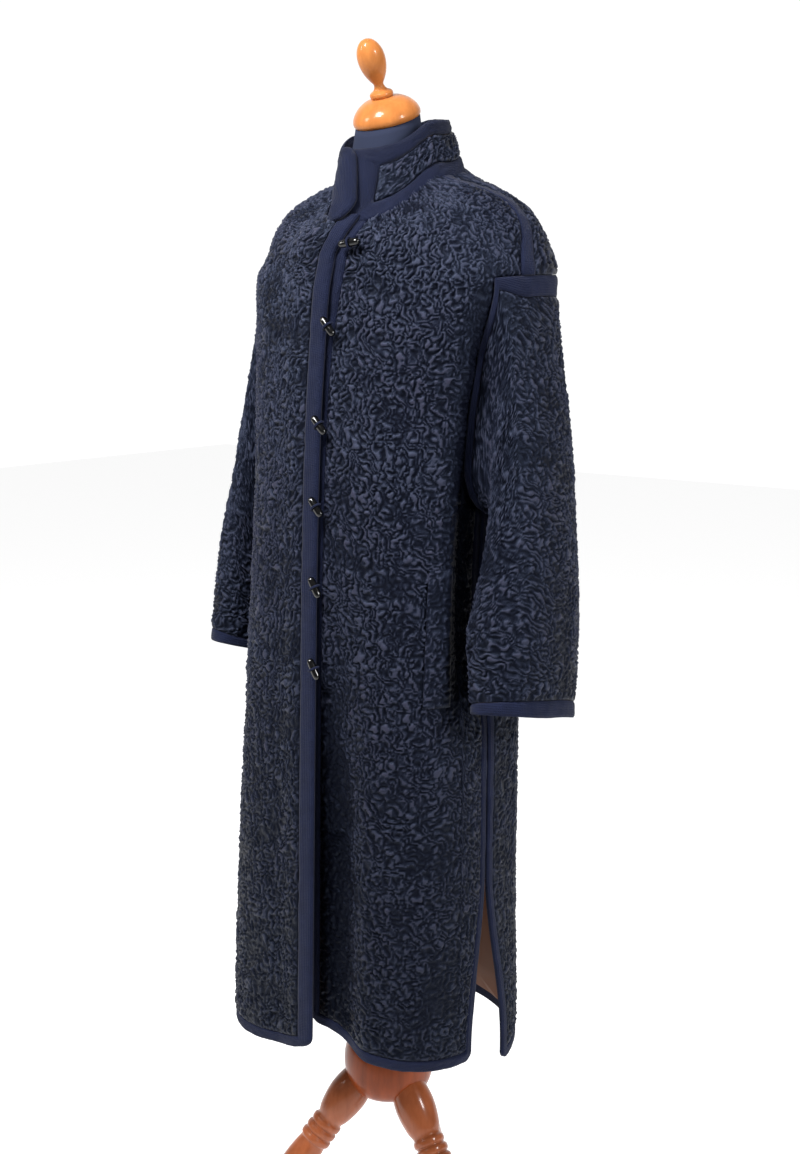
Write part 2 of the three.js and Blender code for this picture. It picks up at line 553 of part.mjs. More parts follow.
// Six horn toggles on the right front's free edge, each held by a cord loop over its waist
const toggles = [[909, 5, -60, 0.2], [1016, 5, -58, 0.2], [1120, 4, -50, 0.2], [1229, 5, -46, 0.2], [1361, 9, -48, 1.4],
  [1500, 13, 8, 2.1]]; // level, place on the band, turn, how far it sits into the band's hollow
toggles.forEach(([v, along, turn, seat], n) => {
  const deg = degAtX(edgeAt(v).right + along, v), tilt = rad(turn);
  const rest = lap + braid + gap;
  const foot = shifted(body, deg, v, 0), out = shifted(body, deg, v, 1).sub(foot);
  const across = V(0, 0, 1).cross(out).negate().normalize(), up = out.clone().cross(across).negate();
  across.negate();
  up.crossVectors(out, across);
  const axis = across.clone().multiplyScalar(Math.cos(tilt)).addScaledVector(up, Math.sin(tilt));
  const width = axis.clone().cross(out).negate();
  const centre = foot.clone().addScaledVector(out, rest + 5.2 - seat);
  const basis = new THREE.Matrix4().makeBasis(width, out, axis);
  if (basis.determinant() < 0) basis.makeBasis(width.negate(), out, axis);
  basis.setPosition(centre);
  add(`toggle_${n + 1}`, placed(turned([[0, -15], [3, -14], [4.6, -11], [5.1, -4], [5.1, 4], [4.6, 11], [3, 14], [0, 15]], 8),
    basis.clone()), colours.horn, 0.2);
  const path = new THREE.CatmullRomCurve3(range(9).map((k) => {
    const t = rad(mix(-28, 208, k / 8));
    return V(6.9 * Math.cos(t), 6.9 * Math.sin(t), 0);
  }));
  add(`loop_${n + 1}`, placed(tube(path, 8, 1.4, 5), basis.clone()), colours.band);
});

function tube(path, steps, radius, segments) {
  const frames = path.computeFrenetFrames(steps, false), points = [], index = [];
  for (const j of range(steps + 1)) {
    const p = path.getPointAt(j / steps);
    for (const k of range(segments)) {
      const t = (2 * Math.PI * k) / segments;
      points.push(p.clone().addScaledVector(frames.normals[j], radius * Math.cos(t))
        .addScaledVector(frames.binormals[j], radius * Math.sin(t)));
    }
  }
  for (const j of range(steps)) {
    for (const k of range(segments)) {
      const [a, b] = [j * segments + k, j * segments + ((k + 1) % segments)];
      index.push(a, b, b + segments, a, b + segments, a + segments);
    }
  }
  const end = points.length;
  points.push(path.getPointAt(0), path.getPointAt(1));
  for (const k of range(segments)) {
    const n = (k + 1) % segments, top = steps * segments;
    index.push(end, n, k, end + 1, top + k, top + n);
  }
  return solid(points, index);
}

// The pole's axis stands a little off the middle of the whole, which is the origin
const middle = [1.5, 28.7];
const coat = new THREE.Group();
for (const [name, geometry, colour, roughness] of parts) {
  geometry.translate(-middle[0], -middle[1], 0);
  const mesh = new THREE.Mesh(geometry, new THREE.MeshStandardMaterial({ color: colour, roughness, metalness: 0 }));
  mesh.name = name;
  coat.add(mesh);
}
export default coat;
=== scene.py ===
import math
import bmesh
import bpy
import numpy as np
from mathutils import Matrix, Vector


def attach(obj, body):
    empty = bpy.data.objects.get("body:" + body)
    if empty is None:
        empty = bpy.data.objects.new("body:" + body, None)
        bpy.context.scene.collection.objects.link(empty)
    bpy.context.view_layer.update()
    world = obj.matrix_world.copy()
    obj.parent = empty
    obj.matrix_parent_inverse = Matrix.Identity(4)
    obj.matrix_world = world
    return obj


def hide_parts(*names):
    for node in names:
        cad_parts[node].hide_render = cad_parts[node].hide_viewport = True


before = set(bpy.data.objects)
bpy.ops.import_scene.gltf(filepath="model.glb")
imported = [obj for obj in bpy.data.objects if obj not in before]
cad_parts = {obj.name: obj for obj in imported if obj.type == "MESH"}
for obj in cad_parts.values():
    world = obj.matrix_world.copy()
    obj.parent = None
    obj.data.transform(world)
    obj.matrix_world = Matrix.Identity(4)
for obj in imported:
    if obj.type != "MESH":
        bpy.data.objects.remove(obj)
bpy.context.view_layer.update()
scene = bpy.context.scene


def hexColour(text):  # sRGB hex to linear
    c = np.array([int(text[i:i + 2], 16) / 255 for i in (1, 3, 5)])
    return (*np.where(c <= 0.04045, c / 12.92, ((c + 0.055) / 1.055) ** 2.4), 1.0)


# Camera: 2.25 m from the pole, 38 degrees round towards the wearer's left, at eye height
view = dict(place=(1.3964, -1.7919, 1.4), tilt=80.1, turn=38, lens=52.4)
camera = bpy.data.objects.new("camera", bpy.data.cameras.new("camera"))
scene.collection.objects.link(camera)
camera.location = view["place"]
camera.rotation_euler = (math.radians(view["tilt"]), 0, math.radians(view["turn"]))
camera.data.lens = view["lens"]
camera.data.sensor_width = 36
camera.data.clip_end = 50
scene.camera = camera
print("camera placed")

# Materials
# the fur's crest colour is a painted highlight and its valley colour is painted shade
palette = dict(
    furCrest="#383f50", furWarm="#3b3748", furMid="#1c202e", furValley="#0a0c16", furGloss="#a3b6e0", leather="#3c2c24",
    wool="#1c233e", woolDark="#12172c", satin="#5e3a24", jersey="#2a3044", horn="#040405", hornPale="#0c0a0c",
    wood="#d08446", woodDark="#b06a36", stain="#964316", stainDark="#6f2f0c", leg="#a85f3c", legDark="#884828",
    floor="#d8d8d8",
)


def newMaterial(name, colour=None, roughness=0.5, ior=1.45):
    m = bpy.data.materials.new(name)
    m.use_nodes = True
    base = m.node_tree.nodes["Principled BSDF"]
    if colour:
        base.inputs["Base Color"].default_value = hexColour(palette[colour])
    base.inputs["Roughness"].default_value = roughness
    base.inputs["IOR"].default_value = ior
    return m, m.node_tree, base


def addNode(tree, kind, inputs=None, **settings):
    n = tree.nodes.new(kind)
    for key, value in settings.items():
        setattr(n, key, value)
    for key, value in (inputs or {}).items():
        if hasattr(value, "is_output"):
            tree.links.new(value, n.inputs[key])
        else:
            n.inputs[key].default_value = value
    return n


def bumpInto(tree, base, height, depth, strength=1.0):  # depth in metres
    bump = addNode(tree, "ShaderNodeBump", {"Height": height, "Distance": depth, "Strength": strength})
    tree.links.new(bump.outputs["Normal"], base.inputs["Normal"])
    return bump


# Lamb fur: colour follows the curls' height, with a painted highlight on the crests and painted shade in the valleys;
# fine hairs are a bump
fur, tree, base = newMaterial("blackLambFur", "furCrest", 0.45, 1.55)
curl = addNode(tree, "ShaderNodeAttribute", attribute_name="curl")
place = addNode(tree, "ShaderNodeTexCoord")
hairs = addNode(tree, "ShaderNodeTexNoise", {"Vector": place.outputs["Object"], "Scale": 700.0, "Detail": 3.0})
uneven = addNode(tree, "ShaderNodeMath", {0: hairs.outputs["Fac"], 1: 0.5, 2: -0.25}, operation="MULTIPLY_ADD")
height = addNode(tree, "ShaderNodeMath", {0: curl.outputs["Fac"], 1: uneven.outputs[0]}, operation="ADD")
# painted shade in the valleys rising to a painted highlight on the crests
ramp = addNode(tree, "ShaderNodeValToRGB", {"Fac": height.outputs[0]})
stops = ramp.color_ramp.elements
stops[0].position, stops[0].color = 0.15, hexColour(palette["furValley"])
stops[1].position, stops[1].color = 0.9, hexColour(palette["furCrest"])
middle = stops.new(0.55)
middle.color = hexColour(palette["furMid"])
cloudy = addNode(tree, "ShaderNodeTexNoise", {"Vector": place.outputs["Object"], "Scale": 9.0, "Detail": 2.0})
warm = addNode(tree, "ShaderNodeMix", {0: cloudy.outputs["Fac"], 6: hexColour(palette["furCrest"]),
                                       7: hexColour(palette["furWarm"])}, data_type="RGBA")
# painted highlight: the highest crests blend to the crest colour, warmer in random clouds
crestHighlightMask = addNode(tree, "ShaderNodeMapRange", {0: height.outputs[0], 1: 0.55, 2: 1.0})
tinted = addNode(tree, "ShaderNodeMix", {0: crestHighlightMask.outputs[0], 6: ramp.outputs["Color"], 7: warm.outputs[2]},
                 data_type="RGBA")
# painted shade: the fur's colour falls from full at 1.2 m to half at 0.3 m, as if lit from above
level = addNode(tree, "ShaderNodeSeparateXYZ", {0: place.outputs["Object"]})
depth = addNode(tree, "ShaderNodeMapRange", {0: level.outputs["Z"], 1: 0.3, 2: 1.2, 3: 0.5, 4: 1.0})
paintedFalloffColour = addNode(tree, "ShaderNodeVectorMath", {0: tinted.outputs[2]}, operation="SCALE")
tree.links.new(depth.outputs[0], paintedFalloffColour.inputs["Scale"])
tree.links.new(paintedFalloffColour.outputs["Vector"], base.inputs["Base Color"])
base.inputs["Specular IOR Level"].default_value = 0.2
base.inputs["Specular Tint"].default_value = hexColour(palette["furGloss"])
bumpInto(tree, base, hairs.outputs["Fac"], 0.0007, 0.8)

# Knitted wool: ribs across the band every 2.2 mm, small stitches along them
wool, tree, base = newMaterial("navyWoolKnit", "wool", 0.95, 1.5)
base.inputs["Specular IOR Level"].default_value = 0.15
base.inputs["Sheen Weight"].default_value = 0.06
base.inputs["Sheen Roughness"].default_value = 0.5
cloth = addNode(tree, "ShaderNodeUVMap", uv_map="clothMap")
split = addNode(tree, "ShaderNodeSeparateXYZ", {0: cloth.outputs["UV"]})
ribs = addNode(tree, "ShaderNodeMath", {0: split.outputs["X"], 1: 2 * math.pi / 0.0022}, operation="MULTIPLY")
rib = addNode(tree, "ShaderNodeMath", {0: ribs.outputs[0]}, operation="SINE")
rows = addNode(tree, "ShaderNodeMath", {0: split.outputs["Y"], 1: 2 * math.pi / 0.0030}, operation="MULTIPLY")
row = addNode(tree, "ShaderNodeMath", {0: rows.outputs[0]}, operation="SINE")
fuzz = addNode(tree, "ShaderNodeTexNoise", {"Vector": cloth.outputs["UV"], "Scale": 700.0, "Detail": 3.0})
both = addNode(tree, "ShaderNodeMath", {0: rib.outputs[0], 1: 0.6, 2: row.outputs[0]}, operation="MULTIPLY_ADD")
knit = addNode(tree, "ShaderNodeMath", {0: fuzz.outputs["Fac"], 1: 3.0, 2: both.outputs[0]}, operation="MULTIPLY_ADD")
bumpInto(tree, base, knit.outputs[0], 0.0003, 0.7)
wools = addNode(tree, "ShaderNodeTexNoise", {"Vector": cloth.outputs["UV"], "Scale": 60.0, "Detail": 4.0})
mixed = addNode(tree, "ShaderNodeMix", {0: wools.outputs["Fac"], 6: hexColour(palette["woolDark"]),
                                        7: hexColour(palette["wool"])}, data_type="RGBA")
tree.links.new(mixed.outputs[2], base.inputs["Base Color"])

# Satin lining and the leather side of the fur
satin, tree, base = newMaterial("tanSatin", "satin", 0.5, 1.5)
base.inputs["Specular IOR Level"].default_value = 0.12
leather, tree, base = newMaterial("suedeInside", "leather", 0.85, 1.5)

# Jersey over the form
jersey, tree, base = newMaterial("slateJersey", "jersey", 0.95, 1.5)
base.inputs["Specular IOR Level"].default_value = 0.2
place = addNode(tree, "ShaderNodeTexCoord")
weave = addNode(tree, "ShaderNodeTexNoise", {"Vector": place.outputs["Object"], "Scale": 1100.0, "Detail": 2.0})
bumpInto(tree, base, weave.outputs["Fac"], 0.0002, 0.5)


def varnished(name, pale, dark, coatWeight=0.28, coatRoughness=0.06):  # grain along the piece's height, clear varnish
    m, tree, base = newMaterial(name, pale, 0.3, 1.5)
    place = addNode(tree, "ShaderNodeTexCoord")
    stretch = addNode(tree, "ShaderNodeMapping", {"Vector": place.outputs["Object"], "Scale": (1, 1, 0.16)})
    grain = addNode(tree, "ShaderNodeTexNoise", {"Vector": stretch.outputs[0], "Scale": 70.0, "Detail": 5.0,
                                                 "Roughness": 0.65})
    ramp = addNode(tree, "ShaderNodeValToRGB", {"Fac": grain.outputs["Fac"]})
    ramp.color_ramp.elements[0].position = 0.25
    ramp.color_ramp.elements[0].color = hexColour(palette[dark])
    ramp.color_ramp.elements[1].position = 0.75
    ramp.color_ramp.elements[1].color = hexColour(palette[pale])
    tree.links.new(ramp.outputs["Color"], base.inputs["Base Color"])
    base.inputs["Specular IOR Level"].default_value = 0.1
    base.inputs["Coat Weight"].default_value = coatWeight
    base.inputs["Coat Roughness"].default_value = coatRoughness
    base.inputs["Coat IOR"].default_value = 1.5
    return m


paleWood = varnished("varnishedBeech", "wood", "woodDark")
darkWood = varnished("stainedBeech", "stain", "stainDark")
legWood = varnished("stainedBeechLegs", "leg", "legDark", 0.5, 0.13)

# Polished horn
horn, tree, base = newMaterial("polishedHorn", "horn", 0.14, 1.56)
base.inputs["Specular IOR Level"].default_value = 0.6
place = addNode(tree, "ShaderNodeTexCoord")
streaks = addNode(tree, "ShaderNodeTexNoise", {"Vector": place.outputs["Object"], "Scale": 120.0, "Detail": 3.0})
ramp = addNode(tree, "ShaderNodeValToRGB", {"Fac": streaks.outputs["Fac"]})
ramp.color_ramp.elements[0].position = 0.5
ramp.color_ramp.elements[0].color = hexColour(palette["horn"])
ramp.color_ramp.elements[1].position = 0.85
ramp.color_ramp.elements[1].color = hexColour(palette["hornPale"])
tree.links.new(ramp.outputs["Color"], base.inputs["Base Color"])
print("materials made")

# Sizes of the coat in mm, about the pole's axis
coat = dict(
    skin=1.2, braid=4.6, gap=0.35, frontBand=24, hemBand=15, sideBand=13, armBand=26, cuffBand=21,
    shoulderBand=24, collarBase=27, collarTop=27, collarEnd=26, lap=7.2, neckSide=1530, dropSide=1411,
    underarm=1115, armCurve=1190, slitTop=640, armFront=70, armBack=112, sleeveLength=562, sleeveRaised=30,
)
originShift = np.array([1.5, 28.7, 0.0])  # the pole's axis stands off the part's origin
furLook = dict(base=3.0, relief=4.6, border=2.6, wave=6.4)  # mm: leather to valley, curl height, at seams, spacing
cell = dict(front=1.98, back=2.5, sleeve=1.7, collar=1.6)  # mm, grid spacing

skin, braid, gap = coat["skin"], coat["braid"], coat["gap"]
rad = np.radians


def mix(a, b, k):
    return a + (b - a) * k


def smooth(a, b, k):
    s = np.clip((k - a) / (b - a), 0, 1)
    return s * s * (3 - 2 * s)


def table(names, *rows):  # rows smoothly interpolated along their first column
    data = np.array(rows, float)
    key = data[:, 0]
    step = np.diff(data, axis=0) / np.diff(key)[:, None]
    slopes = np.zeros_like(data)
    slopes[0], slopes[-1] = step[0], step[-1]
    before, after = step[:-1], step[1:]
    total = np.where(before * after > 0, before + after, 1)
    slopes[1:-1] = np.where(before * after > 0, 2 * before * after / total, 0)

    def at(k):
        t = np.clip(np.asarray(k, float), key[0], key[-1])
        i = np.clip(np.searchsorted(key, t, side="right") - 1, 0, len(key) - 2)
        h = (key[i + 1] - key[i])[..., None]
        s = ((t - key[i]) / (key[i + 1] - key[i]))[..., None]
        got = ((2 * s**3 - 3 * s * s + 1) * data[i] + (3 * s * s - 2 * s**3) * data[i + 1]
               + h * ((s**3 - 2 * s * s + s) * slopes[i] + (s**3 - s * s) * slopes[i + 1]))
        return {n: got[..., c] for c, n in enumerate(names)}
    return at


ringNames = ["side", "front", "back", "left", "right", "frontY", "backY", "midX", "midY", "powL", "powR", "powB"]
bodyAt = table(
    ringNames,
    (350, 350, 350, 174, 208, -153, 132, 0, -6, 3.0, 3.0, 3.0),
    (480, 480, 480, 174, 204, -151, 131, 0, -6, 3.0, 3.0, 3.0),
    (640, 640, 640, 174, 196, -149, 130, 0, -4, 3.0, 3.0, 3.0),
    (800, 800, 800, 173, 186, -147, 129, 0, -2, 3.0, 3.0, 3.0),
    (1000, 1000, 1000, 171, 175, -144, 129, 0, 2, 2.9, 2.9, 2.9),
    (1115, 1115, 1115, 172, 173, -142, 131, 1, 8, 2.8, 2.8, 2.8),
    (1230, 1225, 1232, 181, 179, -140, 137, 3, 15, 2.6, 2.6, 2.6),
    (1330, 1318, 1334, 203, 192, -137, 144, 5, 21, 2.4, 2.3, 2.4),
    (1411, 1390, 1418, 219, 203, -133, 145, 6, 23, 2.2, 2.1, 2.3),
    (1450, 1415, 1462, 204, 184, -130, 142, 6, 23, 2.2, 2.0, 2.3),
    (1480, 1434, 1492, 187, 169, -128, 136, 5, 22, 2.2, 2.0, 2.3),
    (1502, 1446, 1510, 166, 148, -126, 127, 4, 17, 2.2, 1.9, 2.2),
    (1517, 1457, 1529, 133, 114, -123, 116, 4, 9, 2.2, 1.8, 2.2),
    (1530, 1471, 1549, 86, 74, -115, 102, 6, 0, 2.2, 1.55, 2.2),
)
edgeAt = table(
    ["side", "right", "left"],
    (350, -6, 1), (860, 0, 4), (1230, 5, 9), (1330, 8, 14), (1411, 11, 24), (1480, 18, 33), (1530, 34, 46),
)
collarAt = table(
    ["rise", *ringNames],
    (0, 1531, 1472, 1550, 85, 73, -114, 101, 6, 0, 2.2, 1.55, 2.2),
    (27, 1552, 1496, 1573, 75, 62, -102, 92, 7, 3, 2.2, 1.4, 2.2),
    (50, 1568, 1517, 1586, 69, 58, -94, 87, 7.5, 6, 2.2, 1.36, 2.2),
    (78, 1588, 1543, 1603, 63, 64, -84, 80, 8, 9, 2.2, 1.5, 2.2),
    (105, 1607, 1567, 1614, 60, 70, -75, 75, 8, 12, 2.2, 1.75, 2.2),
)
sleeveAt = table(
    ["down", "outer", "inner", "tilt", "left", "right", "y", "wideX", "wideY"],
    (0, 1411, 1115, 0, 198, 188, 22, 18, 68),
    (26, 1385, 1090, 0, 204, 193, 22, 14, 71),
    (90, 1320, 1052, 0, 213, 202, 22, 13, 74),
    (170, 1240, 1010, 3, 220, 211, 20, 19.5, 75),
    (260, 1150, 972, 6, 225, 219, 15, 25, 76),
    (350, 1060, 935, 9, 231, 228, 8, 31.5, 76),
    (440, 975, 905, 12, 236, 233, 1, 34, 76),
    (530, 890, 868, 15, 239, 236, -7, 34, 76),
    (562, 856, 850, 17, 240, 237, -10, 34, 77),
)
hems = dict(
    left=table(["deg", "level"], (-14, 404), (-4, 401), (5, 397), (14, 388), (25, 384), (50, 377), (75, 375), (90, 378)),
    right=table(["deg", "level"], (-6, 381), (6, 381), (15, 375), (25, 369), (50, 362), (90, 368)),
    back=table(["deg", "level"], (90, 350), (100, 350), (130, 366), (180, 384)),
)
shoulderRows = np.array([coat["dropSide"] + gap, 1450, 1480, 1502, 1516, coat["neckSide"] + 2.5])


def ringPoint(r, deg):
    c, s = np.cos(rad(deg)), np.sin(rad(deg))
    depth = np.where(c >= 0, r["midY"] - r["frontY"], r["backY"] - r["midY"])
    power = np.where(c >= 0, np.where(s >= 0, r["powL"], r["powR"]), r["powB"])
    half = np.where(s >= 0, r["left"], r["right"])
    radius = (np.abs(c / depth) ** power + np.abs(s / half) ** power) ** (-1 / power)
    z = np.where(c >= 0, mix(r["side"], r["front"], 1 - np.abs(s) ** 3), mix(r["side"], r["back"], c * c))
    return np.stack([r["midX"] + radius * s, r["midY"] - radius * c, z], -1)


def fromFront(deg):
    return np.abs(np.where(deg > 180, deg - 360, deg))


def openAt(v):
    return smooth(coat["slitTop"], 380, v)


def fold(deg, v):
    a = fromFront(deg)
    return smooth(1150, 420, v) * smooth(10, 40, a) * (
        4.5 * np.cos(rad(3.2 * (a - 47))) + 2.5 * np.sin(rad(5 * deg + 0.06 * v)))


def outwards(deg):
    return np.stack([np.sin(rad(deg)), -np.cos(rad(deg)), 0 * deg], -1)


def pushed(deg, v, out):
    return ringPoint(bodyAt(v), deg) + out[..., None] * outwards(deg)


def body(deg, v):
    deg, v = np.broadcast_arrays(np.asarray(deg, float), np.asarray(v, float))
    up = np.clip(v - 1524, 0, 14)  # the last rows go up under the collar
    low = pushed(deg, np.minimum(v, 1530), fold(deg, v) + besideArm(fromFront(deg), v))
    return mix(low, collar(deg, up) - 3 * outwards(deg), smooth(0, 8, up)[..., None])


def backBody(deg, v):
    deg, v = np.broadcast_arrays(np.asarray(deg, float), np.asarray(v, float))
    return body(deg, v) + (7 * openAt(v) * smooth(150, 96, fromFront(deg)))[..., None] * outwards(deg)


def collar(deg, rise):
    deg, rise = np.broadcast_arrays(np.asarray(deg, float), np.asarray(rise, float))
    p = ringPoint(collarAt(rise), deg)
    p[..., 2] -= 14 * rise / 105 * np.maximum(0, -np.sin(rad(deg)))
    return p


def normals(point, u, v, side=1):
    e = 0.6
    n = np.cross(point(u + e, v) - point(u - e, v), point(u, v + e) - point(u, v - e))
    return side * n / np.linalg.norm(n, axis=-1, keepdims=True)


def perMm(deg, v):
    return 1 / np.linalg.norm(body(deg + 0.5, v) - body(deg - 0.5, v), axis=-1)


def degAtX(x, v):
    r = bodyAt(v)
    return np.degrees(np.arcsin(x / (r["midY"] - r["frontY"])))


def seamAt(v):
    return mix(83, 93, smooth(coat["dropSide"], 1500, v))


def sideFront(v):
    return 87.5 - 9 * openAt(v)


def sideBack(v):
    return 87.5 + 12 * openAt(v)


def lapLift(deg, v):
    return coat["lap"] * smooth(-75, -30, body(deg, v)[..., 0])


def underLap(deg, v):  # the left edge falls back behind the right one further down
    return -24 * smooth(1060, 600, v) * (1 - smooth(10, 30, deg)) - 3


def besideArm(deg, v):  # the body turns in beside the sleeve
    return -20 * smooth(820, 960, v) * smooth(1395, 1310, v) * smooth(62, 71, deg) * smooth(112, 90, deg)


def armholeFloor(k):
    return mix(coat["underarm"], coat["armCurve"], 1 - np.sqrt(1 - np.clip(k, 0, 1) ** 2)) - gap


def armhole(turn):
    def low(k):
        return mix(coat["underarm"], coat["armCurve"], 1 - np.sqrt(1 - np.clip(k, 0, 1) ** 2))
    t = (turn + 450) % 360 - 90
    up = np.where(t < 90, t, 180 - t)
    edge = np.where(t < 90, coat["armFront"], coat["armBack"])
    k = (up + 90) / 60
    d = np.where(up < -30, mix(90, edge, k), np.where(up < 45, edge, mix(edge, 90, (up - 45) / 45)))
    v = np.where(up < -30, low(k), np.where(up < 45, mix(coat["armCurve"], coat["dropSide"], (up + 30) / 75),
                                            coat["dropSide"]))
    return d, v


# The curls: tangled ridges from noise that is filtered to one spacing a few times
def labyrinth(size, wave, seed, lean=0.0, along=0.0, px=1.3, ring=0.42, rounds=4):
    ny, nx = (int(s / px) for s in size)
    kx, ky = np.fft.fftfreq(nx, px)[None, :], np.fft.fftfreq(ny, px)[:, None]
    k, angle = np.hypot(kx, ky), np.arctan2(ky, kx)
    ring = np.exp(-(((k * wave) - 1) / ring) ** 2) * (1 + along * np.cos(2 * (angle - lean)))
    f = np.random.default_rng(seed).normal(size=(ny, nx))
    for _ in range(rounds):
        f = np.fft.ifft2(np.fft.fft2(np.tanh(1.3 * f)) * ring).real
        f /= f.std()
    return f, px


def softNoise(size, wave, seed, px=4.0):
    ny, nx = (int(s / px) for s in size)
    k = np.hypot(np.fft.fftfreq(nx, px)[None, :], np.fft.fftfreq(ny, px)[:, None])
    f = np.fft.ifft2(np.fft.fft2(np.random.default_rng(seed).normal(size=(ny, nx))) * np.exp(-(k * wave) ** 2)).real
    return f / f.std(), px


def sample(image, s, t):
    f, px = image
    ny, nx = f.shape
    x, y = (s / px) % nx, (t / px) % ny
    i, j = np.floor(x).astype(int), np.floor(y).astype(int)
    a, b = x - i, y - j
    i1, j1, i, j = (i + 1) % nx, (j + 1) % ny, i % nx, j % ny
    return (f[j, i] * (1 - a) * (1 - b) + f[j, i1] * a * (1 - b) + f[j1, i] * (1 - a) * b + f[j1, i1] * a * b)


wave = furLook["wave"]
curlsFine = labyrinth((900, 1000), wave, 3, along=0.1)
curlsLong = labyrinth((900, 1000), wave * 1.15, 4, lean=math.pi / 2, along=0.5)
curlsLean = labyrinth((900, 1000), wave * 1.1, 5, lean=math.pi / 3, along=0.5)
curlsWide = labyrinth((900, 1000), wave * 1.9, 9, along=0.2, ring=0.5)
patches = softNoise((900, 1000), 55, 6)
wander = softNoise((900, 1000), 30, 8)
twist = softNoise((900, 1000), 13, 12, px=2.5)


def curlHeight(s, t, long, seed=0):  # 0 in the valleys to 1 on the crests
    s, t = s + 131 * seed, t + 57 * seed
    w = sample(wander, s, t)
    s2 = s + 3.0 * w + 2.4 * sample(twist, s, t)
    t2 = t + 3.0 * sample(wander, s + 300, t + 100) + 2.4 * sample(twist, s + 200, t + 400)
    f = mix(sample(curlsFine, s2, t2), sample(curlsLong, s2, t2), long)
    lean = smooth(0.1, 0.9, sample(wander, s + 450, t + 320)) * 0.8
    f = mix(f, sample(curlsLean, s2, t2), lean)
    wide = sample(curlsWide, s2, t2)
    f = f + 0.28 * wide
    low = smooth(-2.0, 0.3, sample(patches, s, t) + 0.4 * wide)
    h = np.clip(0.41 + 0.42 * f, 0, 1) ** 0.9
    return h * mix(0.66, 1.0, low)


def distances(p):
    s = np.zeros(p.shape[:2])
    t = np.zeros(p.shape[:2])
    s[:, 1:] = np.cumsum(np.linalg.norm(np.diff(p, axis=1), axis=-1), 1)
    t[1:] = np.cumsum(np.linalg.norm(np.diff(p, axis=0), axis=-1), 0)
    return s, t


def toBorder(keep, closed):  # steps from each grid point to the nearest free edge, up to 4
    ny, nx = keep.shape
    cols = nx if closed else nx + 1
    full = np.pad(keep, ((1, 1), (0, 0) if closed else (1, 1)))
    left = np.roll(full, 1, 1) if closed else full[:, :-1]
    right = full if closed else full[:, 1:]
    inside = left[:-1] & left[1:] & right[:-1] & right[1:]
    inside = inside[:, :cols]
    steps = np.zeros(inside.shape)
    for _ in range(4):
        steps += inside
        grown = np.pad(inside, 1)
        if closed:
            grown[1:-1, 0], grown[1:-1, -1] = inside[:, -1], inside[:, 0]
        inside = inside & grown[:-2, 1:-1] & grown[2:, 1:-1] & grown[1:-1, :-2] & grown[1:-1, 2:]
    return steps


def shell(name, outer, inner, material, keep=None, closed=False, coarse=4, flip=False, uv=None, curls=None,
          inside=None):
    # a closed wall over a grid of points: the outer side on every cell, the inner on every few, a rim between
    ny, nx = outer.shape[:2]
    cx = nx if closed else nx - 1
    if keep is None:
        keep = np.ones((ny - 1, cx), bool)
    jj, ii = np.nonzero(keep)
    wrap = (lambda i: i % nx) if closed else (lambda i: i)
    ident = lambda j, i: j * nx + wrap(i)
    quads = np.stack([ident(jj, ii), ident(jj, ii + 1), ident(jj + 1, ii + 1), ident(jj + 1, ii)], 1)
    a, b = quads, np.roll(quads, -1, 1)
    edges = np.stack([a.ravel(), b.ravel()], 1)
    total = ny * nx
    forward = edges[:, 0] * total + edges[:, 1]
    backward = edges[:, 1] * total + edges[:, 0]
    rim = edges[~np.isin(forward, backward)]
    rimSet = set(map(tuple, rim.tolist()))
    faces = [quads]
    wall = np.stack([rim[:, 1], rim[:, 0], rim[:, 0] + total, rim[:, 1] + total], 1)
    faces.append(wall)
    lists = []
    for j in range(0, ny - 1, coarse):
        for i in range(0, cx, coarse):
            if not keep[j, i]:
                continue
            j2, i2 = min(j + coarse, ny - 1), min(i + coarse, cx)
            loop = []
            sides = [
                [(j, k) for k in range(i, i2 + 1)], [(k, i2) for k in range(j, j2 + 1)],
                [(j2, k) for k in range(i2, i - 1, -1)], [(k, i) for k in range(j2, j - 1, -1)],
            ]
            for side in sides:
                ids = [int(ident(*p)) for p in side]
                onRim = (ids[0], ids[1]) in rimSet
                loop += ids[:-1] if onRim else ids[:1]
            lists.append([x + total for x in reversed(loop)])
    used = np.zeros(2 * total, bool)
    for f in faces:
        used[f.ravel()] = True
    used[[x for f in lists for x in f]] = True
    number = np.cumsum(used) - 1
    points = np.concatenate([outer.reshape(-1, 3), inner.reshape(-1, 3)])[used]
    points = (points - originShift) / 1000
    polys = [f for block in faces for f in number[block].tolist()] + [[int(number[x]) for x in f] for f in lists]
    if flip:
        polys = [f[::-1] for f in polys]
    mesh = bpy.data.meshes.new(name)
    mesh.from_pydata(points.tolist(), [], polys)
    mesh.shade_smooth()
    if curls is not None:
        field = np.concatenate([curls.ravel(), np.zeros(total)])[used]
        mesh.attributes.new("curl", "FLOAT", "POINT").data.foreach_set("value", field.astype(np.float32))
    if uv is not None:
        flat = np.concatenate([uv.reshape(-1, 2)] * 2)[used] / 1000
        layer = mesh.uv_layers.new(name="clothMap")
        index = np.zeros(len(mesh.loops), int)
        mesh.loops.foreach_get("vertex_index", index)
        layer.data.foreach_set("uv", flat[index].astype(np.float32).ravel())
    obj = bpy.data.objects.new(name, mesh)
    scene.collection.objects.link(obj)
    mesh.materials.append(material)
    if inside is not None:
        mesh.materials.append(inside)
        which = np.zeros(len(polys), int)
        which[-len(lists):] = 1
        mesh.polygons.foreach_set("material_index", which)
    return obj


